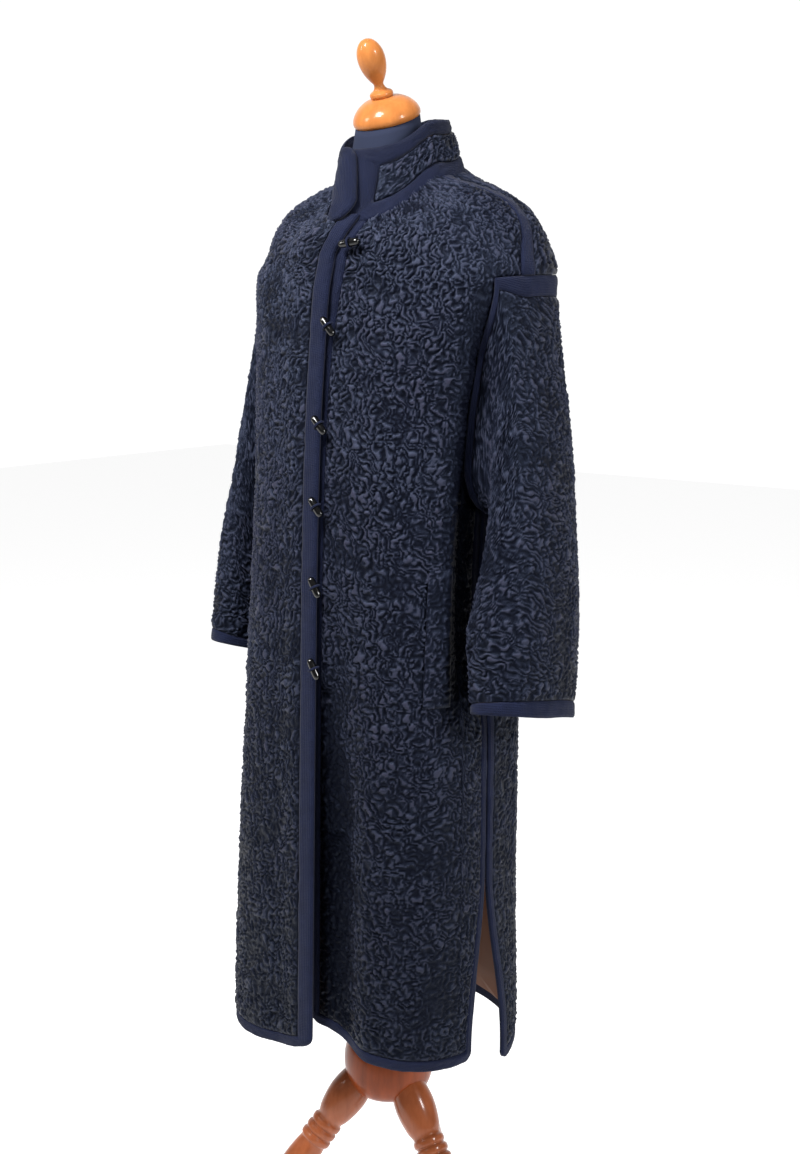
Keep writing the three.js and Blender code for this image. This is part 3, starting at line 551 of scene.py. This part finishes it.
def furShell(name, point, u, v, lift, side, long, keep=None, closed=False, seed=0, dark=0.0, inside=leather):
    mid = point(u, v)
    n = normals(point, u, v, side)
    s, t = distances(mid)
    if keep is None:
        keep = np.ones((u.shape[0] - 1, u.shape[1] - (0 if closed else 1)), bool)
    edge = toBorder(keep, closed) / 4
    curls = curlHeight(s, t, long, seed)
    rise = furLook["base"] + furLook["relief"] * curls
    rise = mix(furLook["border"] + 1.0 * curls, rise, np.sqrt(np.clip(edge, 0, 1)))
    # dark is painted shade and painted shadow: it darkens the colour attribute only, not the curls' shape
    return shell(name, mid + n * (lift + rise)[..., None], mid + n * (lift - skin)[..., None], fur, keep, closed,
                 flip=side < 0, curls=smooth(0.05, 0.95, curls) * (1 - dark), inside=inside)


def blocks(*counts):  # grid parameters 0..1, 1..2 and so on, each with its own number of cells
    out = [np.linspace(n, n + 1, c + 1)[(0 if n == 0 else 1):] for n, c in enumerate(counts)]
    return np.concatenate(out)


def fours(length, size):  # a number of cells that the inner side's coarser grid divides
    return max(4, 4 * round(length / size / 4))


# The two fronts, the back: u runs across from the band over the armhole's line, w up over its two levels
def frontPlace(side):
    name = "left" if side > 0 else "right"
    hem = lambda d: hems[name](d)["level"]
    scale = lambda d, v=400.0: perMm(side * d, v)
    if side > 0:
        edge = lambda v: degAtX(edgeAt(v)["left"] - coat["frontBand"] - 19 * smooth(1060, 600, v), v)
        lift = lambda d, v: underLap(d, v) * smooth(1480, 1400, v)
    else:
        edge = lambda v: degAtX(-edgeAt(v)["right"], v)
        lift = lambda d, v: lapLift(-d, v)

    def column(u, v):
        line = coat["armFront"] - gap * scale(coat["armFront"], v)
        shoulder = seamAt(v) - (coat["shoulderBand"] / 2 + gap) * scale(86, v)
        low = sideFront(v) - (coat["sideBand"] + gap) * scale(86, v)
        far = np.where(v > coat["dropSide"], shoulder, low)
        start = edge(v) + (coat["frontBand"] + gap) * scale(edge(v), v)
        return np.where(u <= 1, mix(start, line, u), mix(line, far, u - 1))

    def place(u, w):
        u, w = np.broadcast_arrays(np.asarray(u, float), np.asarray(w, float))
        v = np.interp(w, [1, 2], [coat["armCurve"], coat["dropSide"] + gap])
        v = np.where(w > 2, np.interp(w - 2, np.linspace(0, 1, 6), shoulderRows), v)
        top = np.where(u <= 1, coat["armCurve"], armholeFloor(2 - u)) - 3 * gap
        low = mix(hem(column(u, 400.0 + 0 * u)) + coat["hemBand"] + gap, top, w)
        v = np.where(w <= 1, low, v)
        return column(u, v), v
    return place, edge, lift, hem, scale


def backPlace():
    scale = lambda d, v=400.0: perMm(d, v)

    def ends(v, mirror):
        mm = (lambda d: scale(360 - d, v)) if mirror else (lambda d: scale(d, v))
        edge = np.where(v > coat["dropSide"], seamAt(v) + (coat["shoulderBand"] / 2 + gap) * mm(86),
                        sideBack(v) + (coat["sideBand"] + gap) * mm(94))
        return edge, coat["armBack"] + gap * mm(coat["armBack"])

    def column(u, v):
        (edge, line), (edge2, line2) = ends(v, False), ends(v, True)
        return np.where(u < 1, mix(edge, line, u), np.where(u > 2, 360 - mix(edge2, line2, 3 - u),
                                                            mix(line, 360 - line2, u - 1)))
    hem = lambda d: hems["back"](fromFront(d))["level"]

    def place(u, w):
        u, w = np.broadcast_arrays(np.asarray(u, float), np.asarray(w, float))
        k = np.minimum(u, 3 - u)
        v = np.interp(w, [1, 2], [coat["armCurve"], coat["dropSide"] + gap])
        v = np.where(w > 2, np.interp(w - 2, np.linspace(0, 1, 6), shoulderRows), v)
        top = np.where(k >= 1, coat["armCurve"], armholeFloor(k)) - 3 * gap
        low = mix(hem(column(u, 400.0 + 0 * u)) + coat["hemBand"] + gap, top, w)
        v = np.where(w <= 1, low, v)
        return column(u, v), v
    return place, hem, scale


def finishPiece(obj, *cad, slotName=None):
    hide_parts(*cad)
    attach(obj, "root")
    return obj


def paintedSleeveShade(deg, v):  # painted shade: the fur's colour is darkened beside the sleeve, where the sleeve shades the body; on the left front the lap's painted shadow is added to it
    return 0.75 * smooth(56, 68, deg) * smooth(780, 960, v) * smooth(1400, 1320, v)


for side, name in ((1, "left"), (-1, "right")):
    place, edge, lift, hem, scale = frontPlace(side)
    point = lambda d, v, side=side: body(side * d, v)
    size = cell["front"]
    u = blocks(fours(225, size), fours(58, size))
    w = blocks(fours(790, size), fours(222, size), fours(190, size))
    uu, ww = np.meshgrid(u, w)
    d, v = place(uu, ww)
    keep = ~((uu[:-1, :-1] >= 1) & (ww[:-1, :-1] >= 1) & (ww[1:, 1:] <= 2))
    long = smooth(1050, 700, v) * 0.4
    # painted shade beside the sleeve in the fur's colour
    dark = paintedSleeveShade(d, v)
    if side > 0:
        # painted shadow of the right front's lap on the left front, next to its edge and stronger lower down
        dark = np.maximum(dark, 0.85 * smooth(21, 9, d) * smooth(900, 640, v))
    obj = furShell("front_fur_" + name, point, d, v, lift(d, v), side, long, keep, seed=2 + side, dark=dark)
    finishPiece(obj, "front_" + name, slotName="fur")
    print("front", name, len(obj.data.polygons))

place, hem, scale = backPlace()
size = cell["back"]
u = blocks(fours(60, size), fours(330, size), fours(60, size))
w = blocks(fours(800, size), fours(222, size), fours(185, size))
uu, ww = np.meshgrid(u, w)
d, v = place(uu, ww)
keep = ~(((uu[:-1, :-1] < 1 - 1e-9) | (uu[:-1, :-1] >= 2 - 1e-9)) & (ww[:-1, :-1] >= 1) & (ww[1:, 1:] <= 2))
obj = furShell("back_fur", backBody, d, v, 0 * d, 1, smooth(1050, 700, v) * 0.4, keep, seed=5)
finishPiece(obj, "back", slotName="fur")
print("back", len(obj.data.polygons))


# Knitted bands: a rounded strip between an inner and an outer line
def band(name, point, inner, outer, lift, side=1, across=7, closed=False, slack=0.0):
    x = np.linspace(0, 1, across + 1)
    if closed:
        x = x[:, None]
        d, v = (mix(outer[k][None, :], inner[k][None, :], x) for k in (0, 1))
    else:
        x = x[None, :]
        d, v = (mix(inner[k][:, None], outer[k][:, None], x) for k in (0, 1))
    mid = point(d, v)
    n = normals(point, d, v, side)
    s, t = distances(mid)
    rise = braid - 2.0 * np.abs(2 * x - 1) ** 5 + 0.35 * sample(wander, s * 2, t * 2)
    up = lift(d, v)
    uv = np.stack([t, s] if not closed else [s, t], -1)
    return shell(name, mid + n * (up + rise)[..., None], mid + n * (up - skin)[..., None], wool, closed=closed,
                 coarse=1, flip=side < 0, uv=uv)


def edging(place, last, tops, edges, hem, radii, scale, share):  # the lines of the strip that edges a panel
    inner, outer = [], []
    a, b = (float(e(np.array(400.0))) for e in edges)
    r1, r2 = radii
    k1, k2 = (float(scale(np.array(x))) for x in (a, b))
    w = np.linspace(tops[0], 0, round(60 * tops[0]) + 1)
    d, v = place(0 * w, w)
    d = d - gap * scale(d, v)
    v[-1] -= gap
    inner += list(zip(d, v))
    outer += list(zip(edges[0](v) + 0 * v, np.maximum(v, hem(np.array(a)) + r1)))
    corner = inner[-1]
    for t in rad(np.arange(9, 90, 9)):
        x = a + r1 * k1 * (1 - np.cos(t))
        inner.append(corner)
        outer.append((x, hem(np.array(x)) + r1 * (1 - np.sin(t))))
    u = np.linspace(0, last, 40 * last + 1)
    d, v = place(u, 0 * u)
    far = mix(a + r1 * k1, b - r2 * k2, share(u))
    end = (float(d[-1] + gap * scale(d[-1:], v[-1:])[0]), float(v[-1] - gap))
    line = [corner, *zip(d[1:-1], v[1:-1] - gap), end]
    inner += line
    outer += list(zip(far, hem(far)))
    for t in rad(np.arange(9, 90, 9)):
        x = b - r2 * k2 * (1 - np.sin(t))
        inner.append(end)
        outer.append((x, hem(np.array(x)) + r2 * (1 - np.cos(t))))
    w = np.linspace(0, tops[1], round(60 * tops[1]) + 1)
    d, v = place(last + 0 * w, w)
    d = d + gap * scale(d, v)
    d[0], v[0] = end
    inner += list(zip(d, v))
    outer += list(zip(edges[1](v) + 0 * v, np.maximum(v, hem(np.array(b)) + r2)))
    return [np.array(x, float).T for x in (inner, outer)]


flat0 = lambda d, v: 0 * d
for side, name in ((1, "left"), (-1, "right")):
    place, edge, lift, hem, scale = frontPlace(side)
    point = lambda d, v, side=side: body(side * d, v)
    inner, outer = edging(
        place, 2, (3, 1), (edge, lambda v: sideFront(v) - gap / 2 * scale(88, v)), hem,
        (22 if side > 0 else 17, 15), scale, lambda u: np.where(u <= 1, 8 * u, 8 + 3 * (u - 1)) / 11)
    obj = band("front_knit_" + name, point, inner, outer, lift, side)
    finishPiece(obj, "front_band_" + name, slotName="wool_band")
    v = np.interp(np.linspace(0, 1, 61), np.linspace(0, 1, 6), shoulderRows)
    wide = coat["shoulderBand"] / 2 * scale(86, v)
    obj = band("shoulder_knit_" + name, point, (seamAt(v) - wide, v), (seamAt(v) + wide, v), flat0, side)
    finishPiece(obj, "shoulder_band_" + name, slotName="wool_band")

place, hem, scale = backPlace()
inner, outer = edging(
    place, 3, (1, 1),
    (lambda v: sideBack(v) + gap / 2 * scale(92, v), lambda v: 360 - sideBack(v) - gap / 2 * scale(92, v)),
    hem, (14, 14), scale, lambda u: np.interp(u, [0, 1, 2, 3], [0, 3, 15, 18]) / 18)
obj = band("back_knit", backBody, inner, outer, flat0)
finishPiece(obj, "back_band", slotName="wool_band")
print("bands")

# Sleeves with their armhole and cuff bands
turnRow = np.array([-90, -75, -60, -45, -30, -11, 8, 26, 45, 60, 75, 90, 105, 120, 135, 154, 172, 191, 210, 225, 240,
                    255, 270], float)


def sleeveSurface(side, name):
    raised = 0 if side > 0 else coat["sleeveRaised"]

    def at(turn, rise):
        turn, rise = np.broadcast_arrays(np.asarray(turn, float), np.asarray(rise, float))
        t = -rise
        r = sleeveAt(t)
        c, s = np.cos(rad(turn)), np.sin(rad(turn))
        full = lambda k: np.sign(k) * np.abs(k) ** 0.86
        tube = np.stack([side * (r[name] + r["wideX"] * full(s)), r["y"] - r["wideY"] * full(c),
                         mix(r["inner"], r["outer"], (1 + s) / 2) + r["tilt"] * c
                         + raised * smooth(60, coat["sleeveLength"], t)], -1)
        if side > 0:  # it swings forward towards the body
            reach = np.clip(np.cos(rad(turn + 45)), 0, 1) ** 1.3 * np.interp(t, [110, 360, 562], [0, 1, 0.65])
            tube = tube + reach[..., None] * np.array([-19, -20, 0])
        b = (1 - s) / 2
        d, v = armhole(turn)
        top = body(side * d, v) + np.stack([side * (6 * b * b + t * (0.12 + 0.75 * b)), 0.3 * t * c,
                                            t * (-1 + 0.6 * b)], -1)
        return mix(top, tube, smooth(0, 100, t)[..., None])
    return at


def armBand(turn):  # the fur comes further up over the band in front
    return coat["armBand"] - 13 * smooth(-88, -60, turn) * smooth(72, 40, turn)


for side, name in ((1, "left"), (-1, "right")):
    surface = sleeveSurface(side, name)
    size = cell["sleeve"]
    turns = np.interp(np.linspace(0, 22, fours(372, size), endpoint=False), np.arange(23), turnRow)
    length = coat["sleeveLength"]
    share = np.linspace(0, 1, fours(515, size) + 1)
    tt, ss = np.meshgrid(turns, share)
    rr = mix(-(length - coat["cuffBand"] - 2 * gap), -(armBand(tt) + gap), ss)
    obj = furShell("sleeve_fur_" + name, surface, tt, rr, 0 * tt, side, 0.35 + 0 * tt, closed=True, seed=8 + side)
    finishPiece(obj, "sleeve_" + name, slotName="fur")
    ring = np.interp(np.linspace(0, 22, 132, endpoint=False), np.arange(23), turnRow)
    for piece, top, low in (("armhole", gap, armBand(ring)), ("cuff", length - coat["cuffBand"], length - 0.5)):
        obj = band(f"{piece}_knit_{name}", surface, (ring, -top + 0 * ring), (ring, -low + 0 * ring), flat0, side,
                   closed=True)
        finishPiece(obj, f"{piece}_band_{name}", slotName="wool_band")
    print("sleeve", name)

# The collar, whose right end laps over its left one
ends = dict(left=9, leftLean=1 / 6, right=379, rightLean=1 / 7, lift=5.6, roll=6.0, corner=46, cornerTurn=17)
lowEdge, highEdge, topEdge = coat["collarBase"], 105 - coat["collarTop"], 105
width = coat["collarEnd"] / float(np.linalg.norm(collar(1, 50) - collar(0, 50)))
leftEnd = lambda v: ends["left"] - v * ends["leftLean"]
straightEnd = lambda v: ends["right"] - v * ends["rightLean"]
furLeft = lambda v: ends["left"] + width + 0 * v
furRight = lambda v: straightEnd(v) - 1.4 * width


def rightEnd(v):  # with its round lower corner
    k = np.clip(1 - v / ends["corner"], 0, 1)
    return straightEnd(v) - ends["cornerTurn"] * (1 - np.sqrt(1 - k * k))


def collarLift(d, v):  # the lapping end rises over the other one as a soft roll
    k = (d - furRight(v)) / (straightEnd(v) - furRight(v))
    roll = np.clip(1 - ((k - 0.52) / 0.5) ** 2, 0, 1) ** 0.6
    return ends["lift"] * smooth(338, 362, d) + 2.5 * smooth(361, 374, d) + ends["roll"] * roll * smooth(340, 352, d)


x = np.linspace(0, 1, fours(330, cell["collar"]) + 1)
v = np.linspace(lowEdge + 3 * gap, highEdge - 3 * gap, fours(52, cell["collar"]) + 1)
xx, vv = np.meshgrid(x, v)
dd = mix(furLeft(vv) + 0.5, furRight(vv) - 0.5, xx)
obj = furShell("collar_fur", collar, dd, vv, collarLift(dd, vv), 1, 0.2 + 0 * dd, seed=11)
finishPiece(obj, "collar", slotName="fur")

keys = [((mix(furLeft(lowEdge), furRight(lowEdge), k / 26), lowEdge), (mix(leftEnd(0), rightEnd(0), k / 26), 0))
        for k in range(27)]
keys += [((furRight(lowEdge), lowEdge), (rightEnd(r), r)) for r in (2, 6, 12, 20)]
keys += [((furRight(mix(lowEdge, highEdge, k / 3)), mix(lowEdge, highEdge, k / 3)), (rightEnd(31 * k), 31 * k))
         for k in (1, 2, 3)]
keys += [((furRight(highEdge), highEdge), (rightEnd(102) - 2.5, 102))]
keys += [((mix(furRight(highEdge), furLeft(highEdge), k / 26), highEdge),
          (mix(rightEnd(topEdge) - 8, leftEnd(topEdge) + 8, k / 26), topEdge)) for k in range(27)]
keys += [((furLeft(highEdge), highEdge), (leftEnd(102) + 2.5, 102))]
keys += [((furLeft(highEdge), mix(highEdge, lowEdge, k / 2)), (leftEnd(92 - 46 * k), 92 - 46 * k)) for k in (0, 1)]
keys = np.array(keys + keys[:1], float)
at = np.linspace(0, len(keys) - 1, 4 * (len(keys) - 1), endpoint=False)
inner, outer = ([np.interp(at, np.arange(len(keys)), keys[:, side, c]) for c in (0, 1)] for side in (0, 1))
obj = band("collar_knit", collar, inner, outer, collarLift, closed=True, across=8)
finishPiece(obj, "collar_band", slotName="wool_band")
print("collar")

# Pocket welts and the lining that shows in the slits
for side, name in ((1, "left"), (-1, "right")):
    point = lambda d, v, side=side: body(side * d, v)
    x, y = np.meshgrid(np.linspace(0, 1, 17), np.linspace(0, 1, 73))
    d, v = mix(52.5 + 1.5 * y, 63.5, x), mix(868, 1046, y)
    # the pocket fur's colour takes the painted shade beside the sleeve
    obj = furShell("pocket_fur_" + name, point, d, v, 1.6 + 0 * d, side, 0.4 + 0 * d, seed=3 + side,
                   dark=paintedSleeveShade(d, v))
    finishPiece(obj, "pocket_welt_" + name, slotName="fur")


def lining(name, point, place, u, side=1, lift=flat0):
    uu, ww = np.meshgrid(u, np.linspace(0, 5 / 13, 33))
    d, v = place(uu, ww)
    mid, n = point(d, v), normals(point, d, v, side)
    s, t = distances(mid)
    sag = 0.8 + 0.8 * sample(patches, s * 1.5, t * 0.5)
    out = skin + gap + np.clip(sag, 0, 2) - lift(d, v)
    obj = shell(name, mid - n * out[..., None], mid - n * (out + 1.2)[..., None], satin, coarse=4, flip=side < 0)
    return obj


for side, name in ((1, "left"), (-1, "right")):
    place, edge, lift, hem, scale = frontPlace(side)
    obj = lining("front_satin_" + name, lambda d, v, side=side: body(side * d, v), place,
                 np.linspace(0.125, 2, 41), side, lift if side > 0 else flat0)
    finishPiece(obj, "lining_front_" + name, slotName="lining")
obj = lining("back_satin", backBody, backPlace()[0], np.linspace(0, 3, 61))
finishPiece(obj, "lining_back", slotName="lining")
print("lining")

# The dress form: rings of the torso, the shoulders under the coat and the leaning neck
formAt = table(
    ringNames,
    (740, 740, 740, 138, 138, -98, 96, 0, 0, 2.4, 2.4, 2.4),
    (850, 850, 850, 150, 150, -108, 104, 0, 0, 2.4, 2.4, 2.4),
    (1000, 1000, 1000, 118, 118, -88, 86, 0, 0, 2.2, 2.2, 2.2),
    (1150, 1150, 1150, 136, 136, -106, 98, 0, 0, 2.2, 2.2, 2.2),
    (1270, 1265, 1275, 150, 150, -120, 108, 2, 4, 2.3, 2.3, 2.3),
    (1380, 1360, 1390, 156, 156, -118, 118, 3, 12, 2.3, 2.3, 2.3),
    (1440, 1400, 1450, 164, 150, -117, 122, 4, 16, 2.3, 2.1, 2.3),
    (1480, 1432, 1488, 160, 136, -116, 120, 4, 16, 2.3, 2.0, 2.2),
)
neckAt = table(
    ringNames,
    (1525, 1486, 1541, 60, 53, -79, 66, 0, -2, 2, 1.8, 2),
    (1545, 1518, 1566, 53, 53, -60, 56, 0, -1, 2, 2, 2),
    (1575, 1556, 1594, 47, 47, -48, 47, 0, 0, 2, 2, 2),
)
lean = Matrix.Translation((0, 0, 1608.6)) @ Matrix.Rotation(math.radians(21), 4, "X")


def refine(rows, n):  # a smooth curve through rows of points
    rows = np.asarray(rows, float)
    padded = np.concatenate([2 * rows[:1] - rows[1:2], rows, 2 * rows[-1:] - rows[-2:-1]])
    out = []
    for i in range(len(rows) - 1):
        a, b, c, d = padded[i:i + 4]
        for t in np.arange(n) / n:
            out.append(0.5 * (2 * b + (c - a) * t + (2 * a - 5 * b + 4 * c - d) * t * t
                              + (3 * b - a - 3 * c + d) * t**3))
    return np.array(out + [rows[-1]])


def lathe(name, rings, material):  # rings of points, closed at both ends
    ny, nx = rings.shape[:2]
    points = [tuple(p) for p in rings.reshape(-1, 3)]
    faces = [(j * nx + i, j * nx + (i + 1) % nx, (j + 1) * nx + (i + 1) % nx, (j + 1) * nx + i)
             for j in range(ny - 1) for i in range(nx)]
    faces += [tuple(reversed(range(nx))), tuple(range((ny - 1) * nx, ny * nx))]
    mesh = bpy.data.meshes.new(name)
    mesh.from_pydata([tuple((np.array(p) - originShift) / 1000) for p in points], [], faces)
    mesh.shade_smooth()
    mesh.materials.append(material)
    obj = bpy.data.objects.new(name, mesh)
    scene.collection.objects.link(obj)
    return obj


around = np.linspace(0, 360, 72, endpoint=False)
rows = [ringPoint(formAt(v), around) for v in
        (740, 790, 850, 925, 1000, 1075, 1150, 1210, 1270, 1325, 1380, 1440, 1480)]
for v in (1502, 1516, 1524.5):
    level = v + 0 * around
    rows.append(body(around, level) - (skin + 2.4) * normals(body, around, level))
rows += [ringPoint(neckAt(v), around) for v in (1525, 1545, 1575)]
top = [lean @ Vector((43 * math.sin(math.radians(a)), -43 * math.cos(math.radians(a)), -0.6)) for a in around]
rows.append(np.array(top))
obj = lathe("jersey_form", refine(rows, 4), jersey)
finishPiece(obj, "dress_form", slotName="jersey")


# Turned wood
def turned(name, profile, place, material, cad, steps=6, around=72):
    line = refine(profile[1:-1], steps)
    line[:, 0] = np.maximum(line[:, 0], 0.4)
    angle = np.linspace(0, 2 * np.pi, around, endpoint=False)
    rings = np.stack([line[:, :1] * np.cos(angle), line[:, :1] * np.sin(angle), line[:, 1:] + 0 * angle], -1)
    m = np.array(place)
    rings = rings @ m[:3, :3].T + m[:3, 3]
    if np.linalg.det(m[:3, :3]) < 0:
        rings = rings[:, ::-1]
    obj = lathe(name, rings, material)
    return finishPiece(obj, cad)


capProfile = [[0, 0], [43, 0], [44.5, 3], [44.3, 8], [41, 15], [34, 22.5], [25, 28], [16, 30.5], [0, 30.5]]
finialProfile = [[0, 0], [14, 0], [15.4, 3], [14.2, 7], [9.3, 10], [6.8, 14], [6.6, 18], [9.5, 22.5], [14, 31],
                 [17, 41], [17.9, 51], [16.6, 60.5], [12.6, 69], [7, 74.5], [0.5, 76.5], [0, 76.5]]
hubProfile = [[0, 257], [24, 257], [40, 261], [52, 270], [59.5, 284], [62.8, 300], [63, 320], [58, 338], [46, 352],
              [28, 361], [22, 368], [0, 368]]
legProfile = [[0, 44], [15, 44], [20, 58], [25.5, 76], [28, 96], [27, 114], [23.5, 132], [19.5, 143], [22, 148],
              [22, 154], [19.6, 157.5], [22.4, 161], [22.4, 167], [19.8, 170.5], [22.6, 174], [22.6, 180], [19.8, 184],
              [21.5, 200], [22.4, 222], [20.5, 262], [16.5, 320], [12.5, 366], [11, 382], [14, 388], [17, 400],
              [17, 412], [16, 450], [0, 450]]
turned("wooden_cap", capProfile, lean, paleWood, "neck_cap")
shear = Matrix(((1, 0, 0, 0), (0, 1, -0.09, 0), (0, 0, 1, 0), (0, 0, 0, 1)))
turned("wooden_finial", finialProfile, lean @ Matrix.Translation((0, 0, 30.85)) @ shear, paleWood, "finial")
turned("wooden_hub", hubProfile, Matrix(), darkWood, "hub")
turned("wooden_pole", [[0, 368.4], [15, 368.4], [15, 739.6], [0, 739.6]], Matrix(), darkWood, "pole", steps=1)
legs = dict(meet=339, splay=36.5, right=227, left=347, back=107)
for name in ("right", "left", "back"):
    place = (Matrix.Translation((0, 0, legs["meet"])) @ Matrix.Rotation(math.radians(legs[name]), 4, "Z")
             @ Matrix.Rotation(math.radians(180 - legs["splay"]), 4, "Y"))
    obj = turned("wooden_leg_" + name, legProfile, place, legWood, "leg_" + name, steps=5, around=44)
    bm = bmesh.new()
    bm.from_mesh(obj.data)
    bmesh.ops.bisect_plane(bm, geom=bm.verts[:] + bm.edges[:] + bm.faces[:], plane_co=(0, 0, 0), plane_no=(0, 0, 1),
                           clear_inner=True)
    bmesh.ops.holes_fill(bm, edges=[e for e in bm.edges if e.is_boundary], sides=0)
    bm.to_mesh(obj.data)
    bm.free()
print("stand")

# Six horn toggles with their cord loops: level, place on the band, turn, how far it sits in
toggles = [(909, 5, -60, 0.2), (1016, 5, -58, 0.2), (1120, 4, -50, 0.2), (1229, 5, -46, 0.2), (1361, 9, -48, 1.4),
           (1500, 18, 8, 2.1)]
hornProfile = [[0, -15], [1.2, -14.8], [3, -14], [4.6, -11], [5.1, -4], [5.1, 4], [4.6, 11], [3, 14],
               [1.2, 14.8], [0, 15]]
for n, (v, along, turn, seat) in enumerate(toggles, 1):
    v = np.array(float(v))
    deg = degAtX(edgeAt(v)["right"] + along, v)
    foot, out = body(deg, v), Vector(normals(body, deg, v))
    across = Vector((0, 0, 1)).cross(out).normalized()
    up = out.cross(across)
    axis = across * math.cos(math.radians(turn)) + up * math.sin(math.radians(turn))
    wide = out.cross(axis)
    centre = Vector(foot) + out * (coat["lap"] + braid + gap + 5.2 - seat)
    place = Matrix((wide, out, axis)).transposed().to_4x4()
    place.translation = centre
    obj = turned(f"horn_toggle_{n}", hornProfile, place, horn, f"toggle_{n}", steps=4, around=24)
    path = bpy.data.curves.new(f"cord_{n}", "CURVE")
    path.dimensions = "3D"
    path.bevel_depth = 0.0014
    path.bevel_resolution = 3
    path.use_fill_caps = True
    spline = path.splines.new("POLY")
    spots = [math.radians(a) for a in np.linspace(-28, 208, 21)]
    spline.points.add(len(spots) - 1)
    for spot, a in zip(spline.points, spots):
        p = place @ Vector((6.9 * math.cos(a), 6.9 * math.sin(a), 0))
        spot.co = (*((np.array(p) - originShift) / 1000), 1)
    path.materials.append(wool)
    obj = bpy.data.objects.new(f"cord_loop_{n}", path)
    scene.collection.objects.link(obj)
    finishPiece(obj, f"loop_{n}", slotName="wool_cord")
print("toggles")
# Floor, background and lights
stage = dict(floorGlow=0.75, ahead=1.05, behind=0.15)
aim = camera.rotation_euler.to_matrix() @ Vector((0, 0, -1))
aim = Vector((aim.x, aim.y, 0)).normalized()
floorMaterial, tree, base = newMaterial("whiteFloor", "floor", 1.0)
base.inputs["Specular IOR Level"].default_value = 0.0
base.inputs["Emission Color"].default_value = (1, 1, 1, 1)
place = addNode(tree, "ShaderNodeTexCoord")
along = addNode(tree, "ShaderNodeVectorMath", {0: place.outputs["Object"], 1: aim}, operation="DOT_PRODUCT")
shine = addNode(tree, "ShaderNodeMapRange", {0: along.outputs["Value"], 1: -0.9, 2: -0.4, 3: 0.0,
                                            4: stage["floorGlow"]})
tree.links.new(shine.outputs[0], base.inputs["Emission Strength"])
floorMesh = bpy.data.meshes.new("floor")
floorMesh.from_pydata([(-9, -9, 0), (9, -9, 0), (9, 9, 0), (-9, 9, 0)], [], [(0, 1, 2, 3)])
floorMesh.materials.append(floorMaterial)
floor = bpy.data.objects.new("floor", floorMesh)
floor.location.z = -0.0005
scene.collection.objects.link(floor)
world = bpy.data.worlds.new("studio")
scene.world = world
world.use_nodes = True
tree = world.node_tree
place = addNode(tree, "ShaderNodeTexCoord")
facing = addNode(tree, "ShaderNodeVectorMath", {0: place.outputs["Generated"], 1: aim}, operation="DOT_PRODUCT")
glow = addNode(tree, "ShaderNodeMapRange", {0: facing.outputs["Value"], 1: 0.35, 2: 0.85, 3: stage["behind"],
                                            4: stage["ahead"]})
tree.links.new(glow.outputs[0], tree.nodes["Background"].inputs["Strength"])
tree.nodes["Background"].inputs["Color"].default_value = (1, 1, 1, 1)
scene.view_settings.view_transform = "Standard"
lights = dict(  # place, power in W, width and height
    key=((-1.9, -2.3, 2.7), 31, 0.6, 0.9), side=((2.9, -0.3, 2.4), 66, 0.6, 1.0), top=((-0.1, -1.6, 3.1), 84, 0.7, 0.7),
)
for name, (spot, power, w, h) in lights.items():
    lamp = bpy.data.lights.new(name, "AREA")
    lamp.shape = "RECTANGLE"
    lamp.size, lamp.size_y = w, h
    lamp.energy = power
    obj = bpy.data.objects.new(name, lamp)
    scene.collection.objects.link(obj)
    obj.location = spot
    obj.rotation_euler = (Vector((0, 0, 1.0)) - Vector(spot)).to_track_quat("-Z", "Y").to_euler()
print("stage lit")
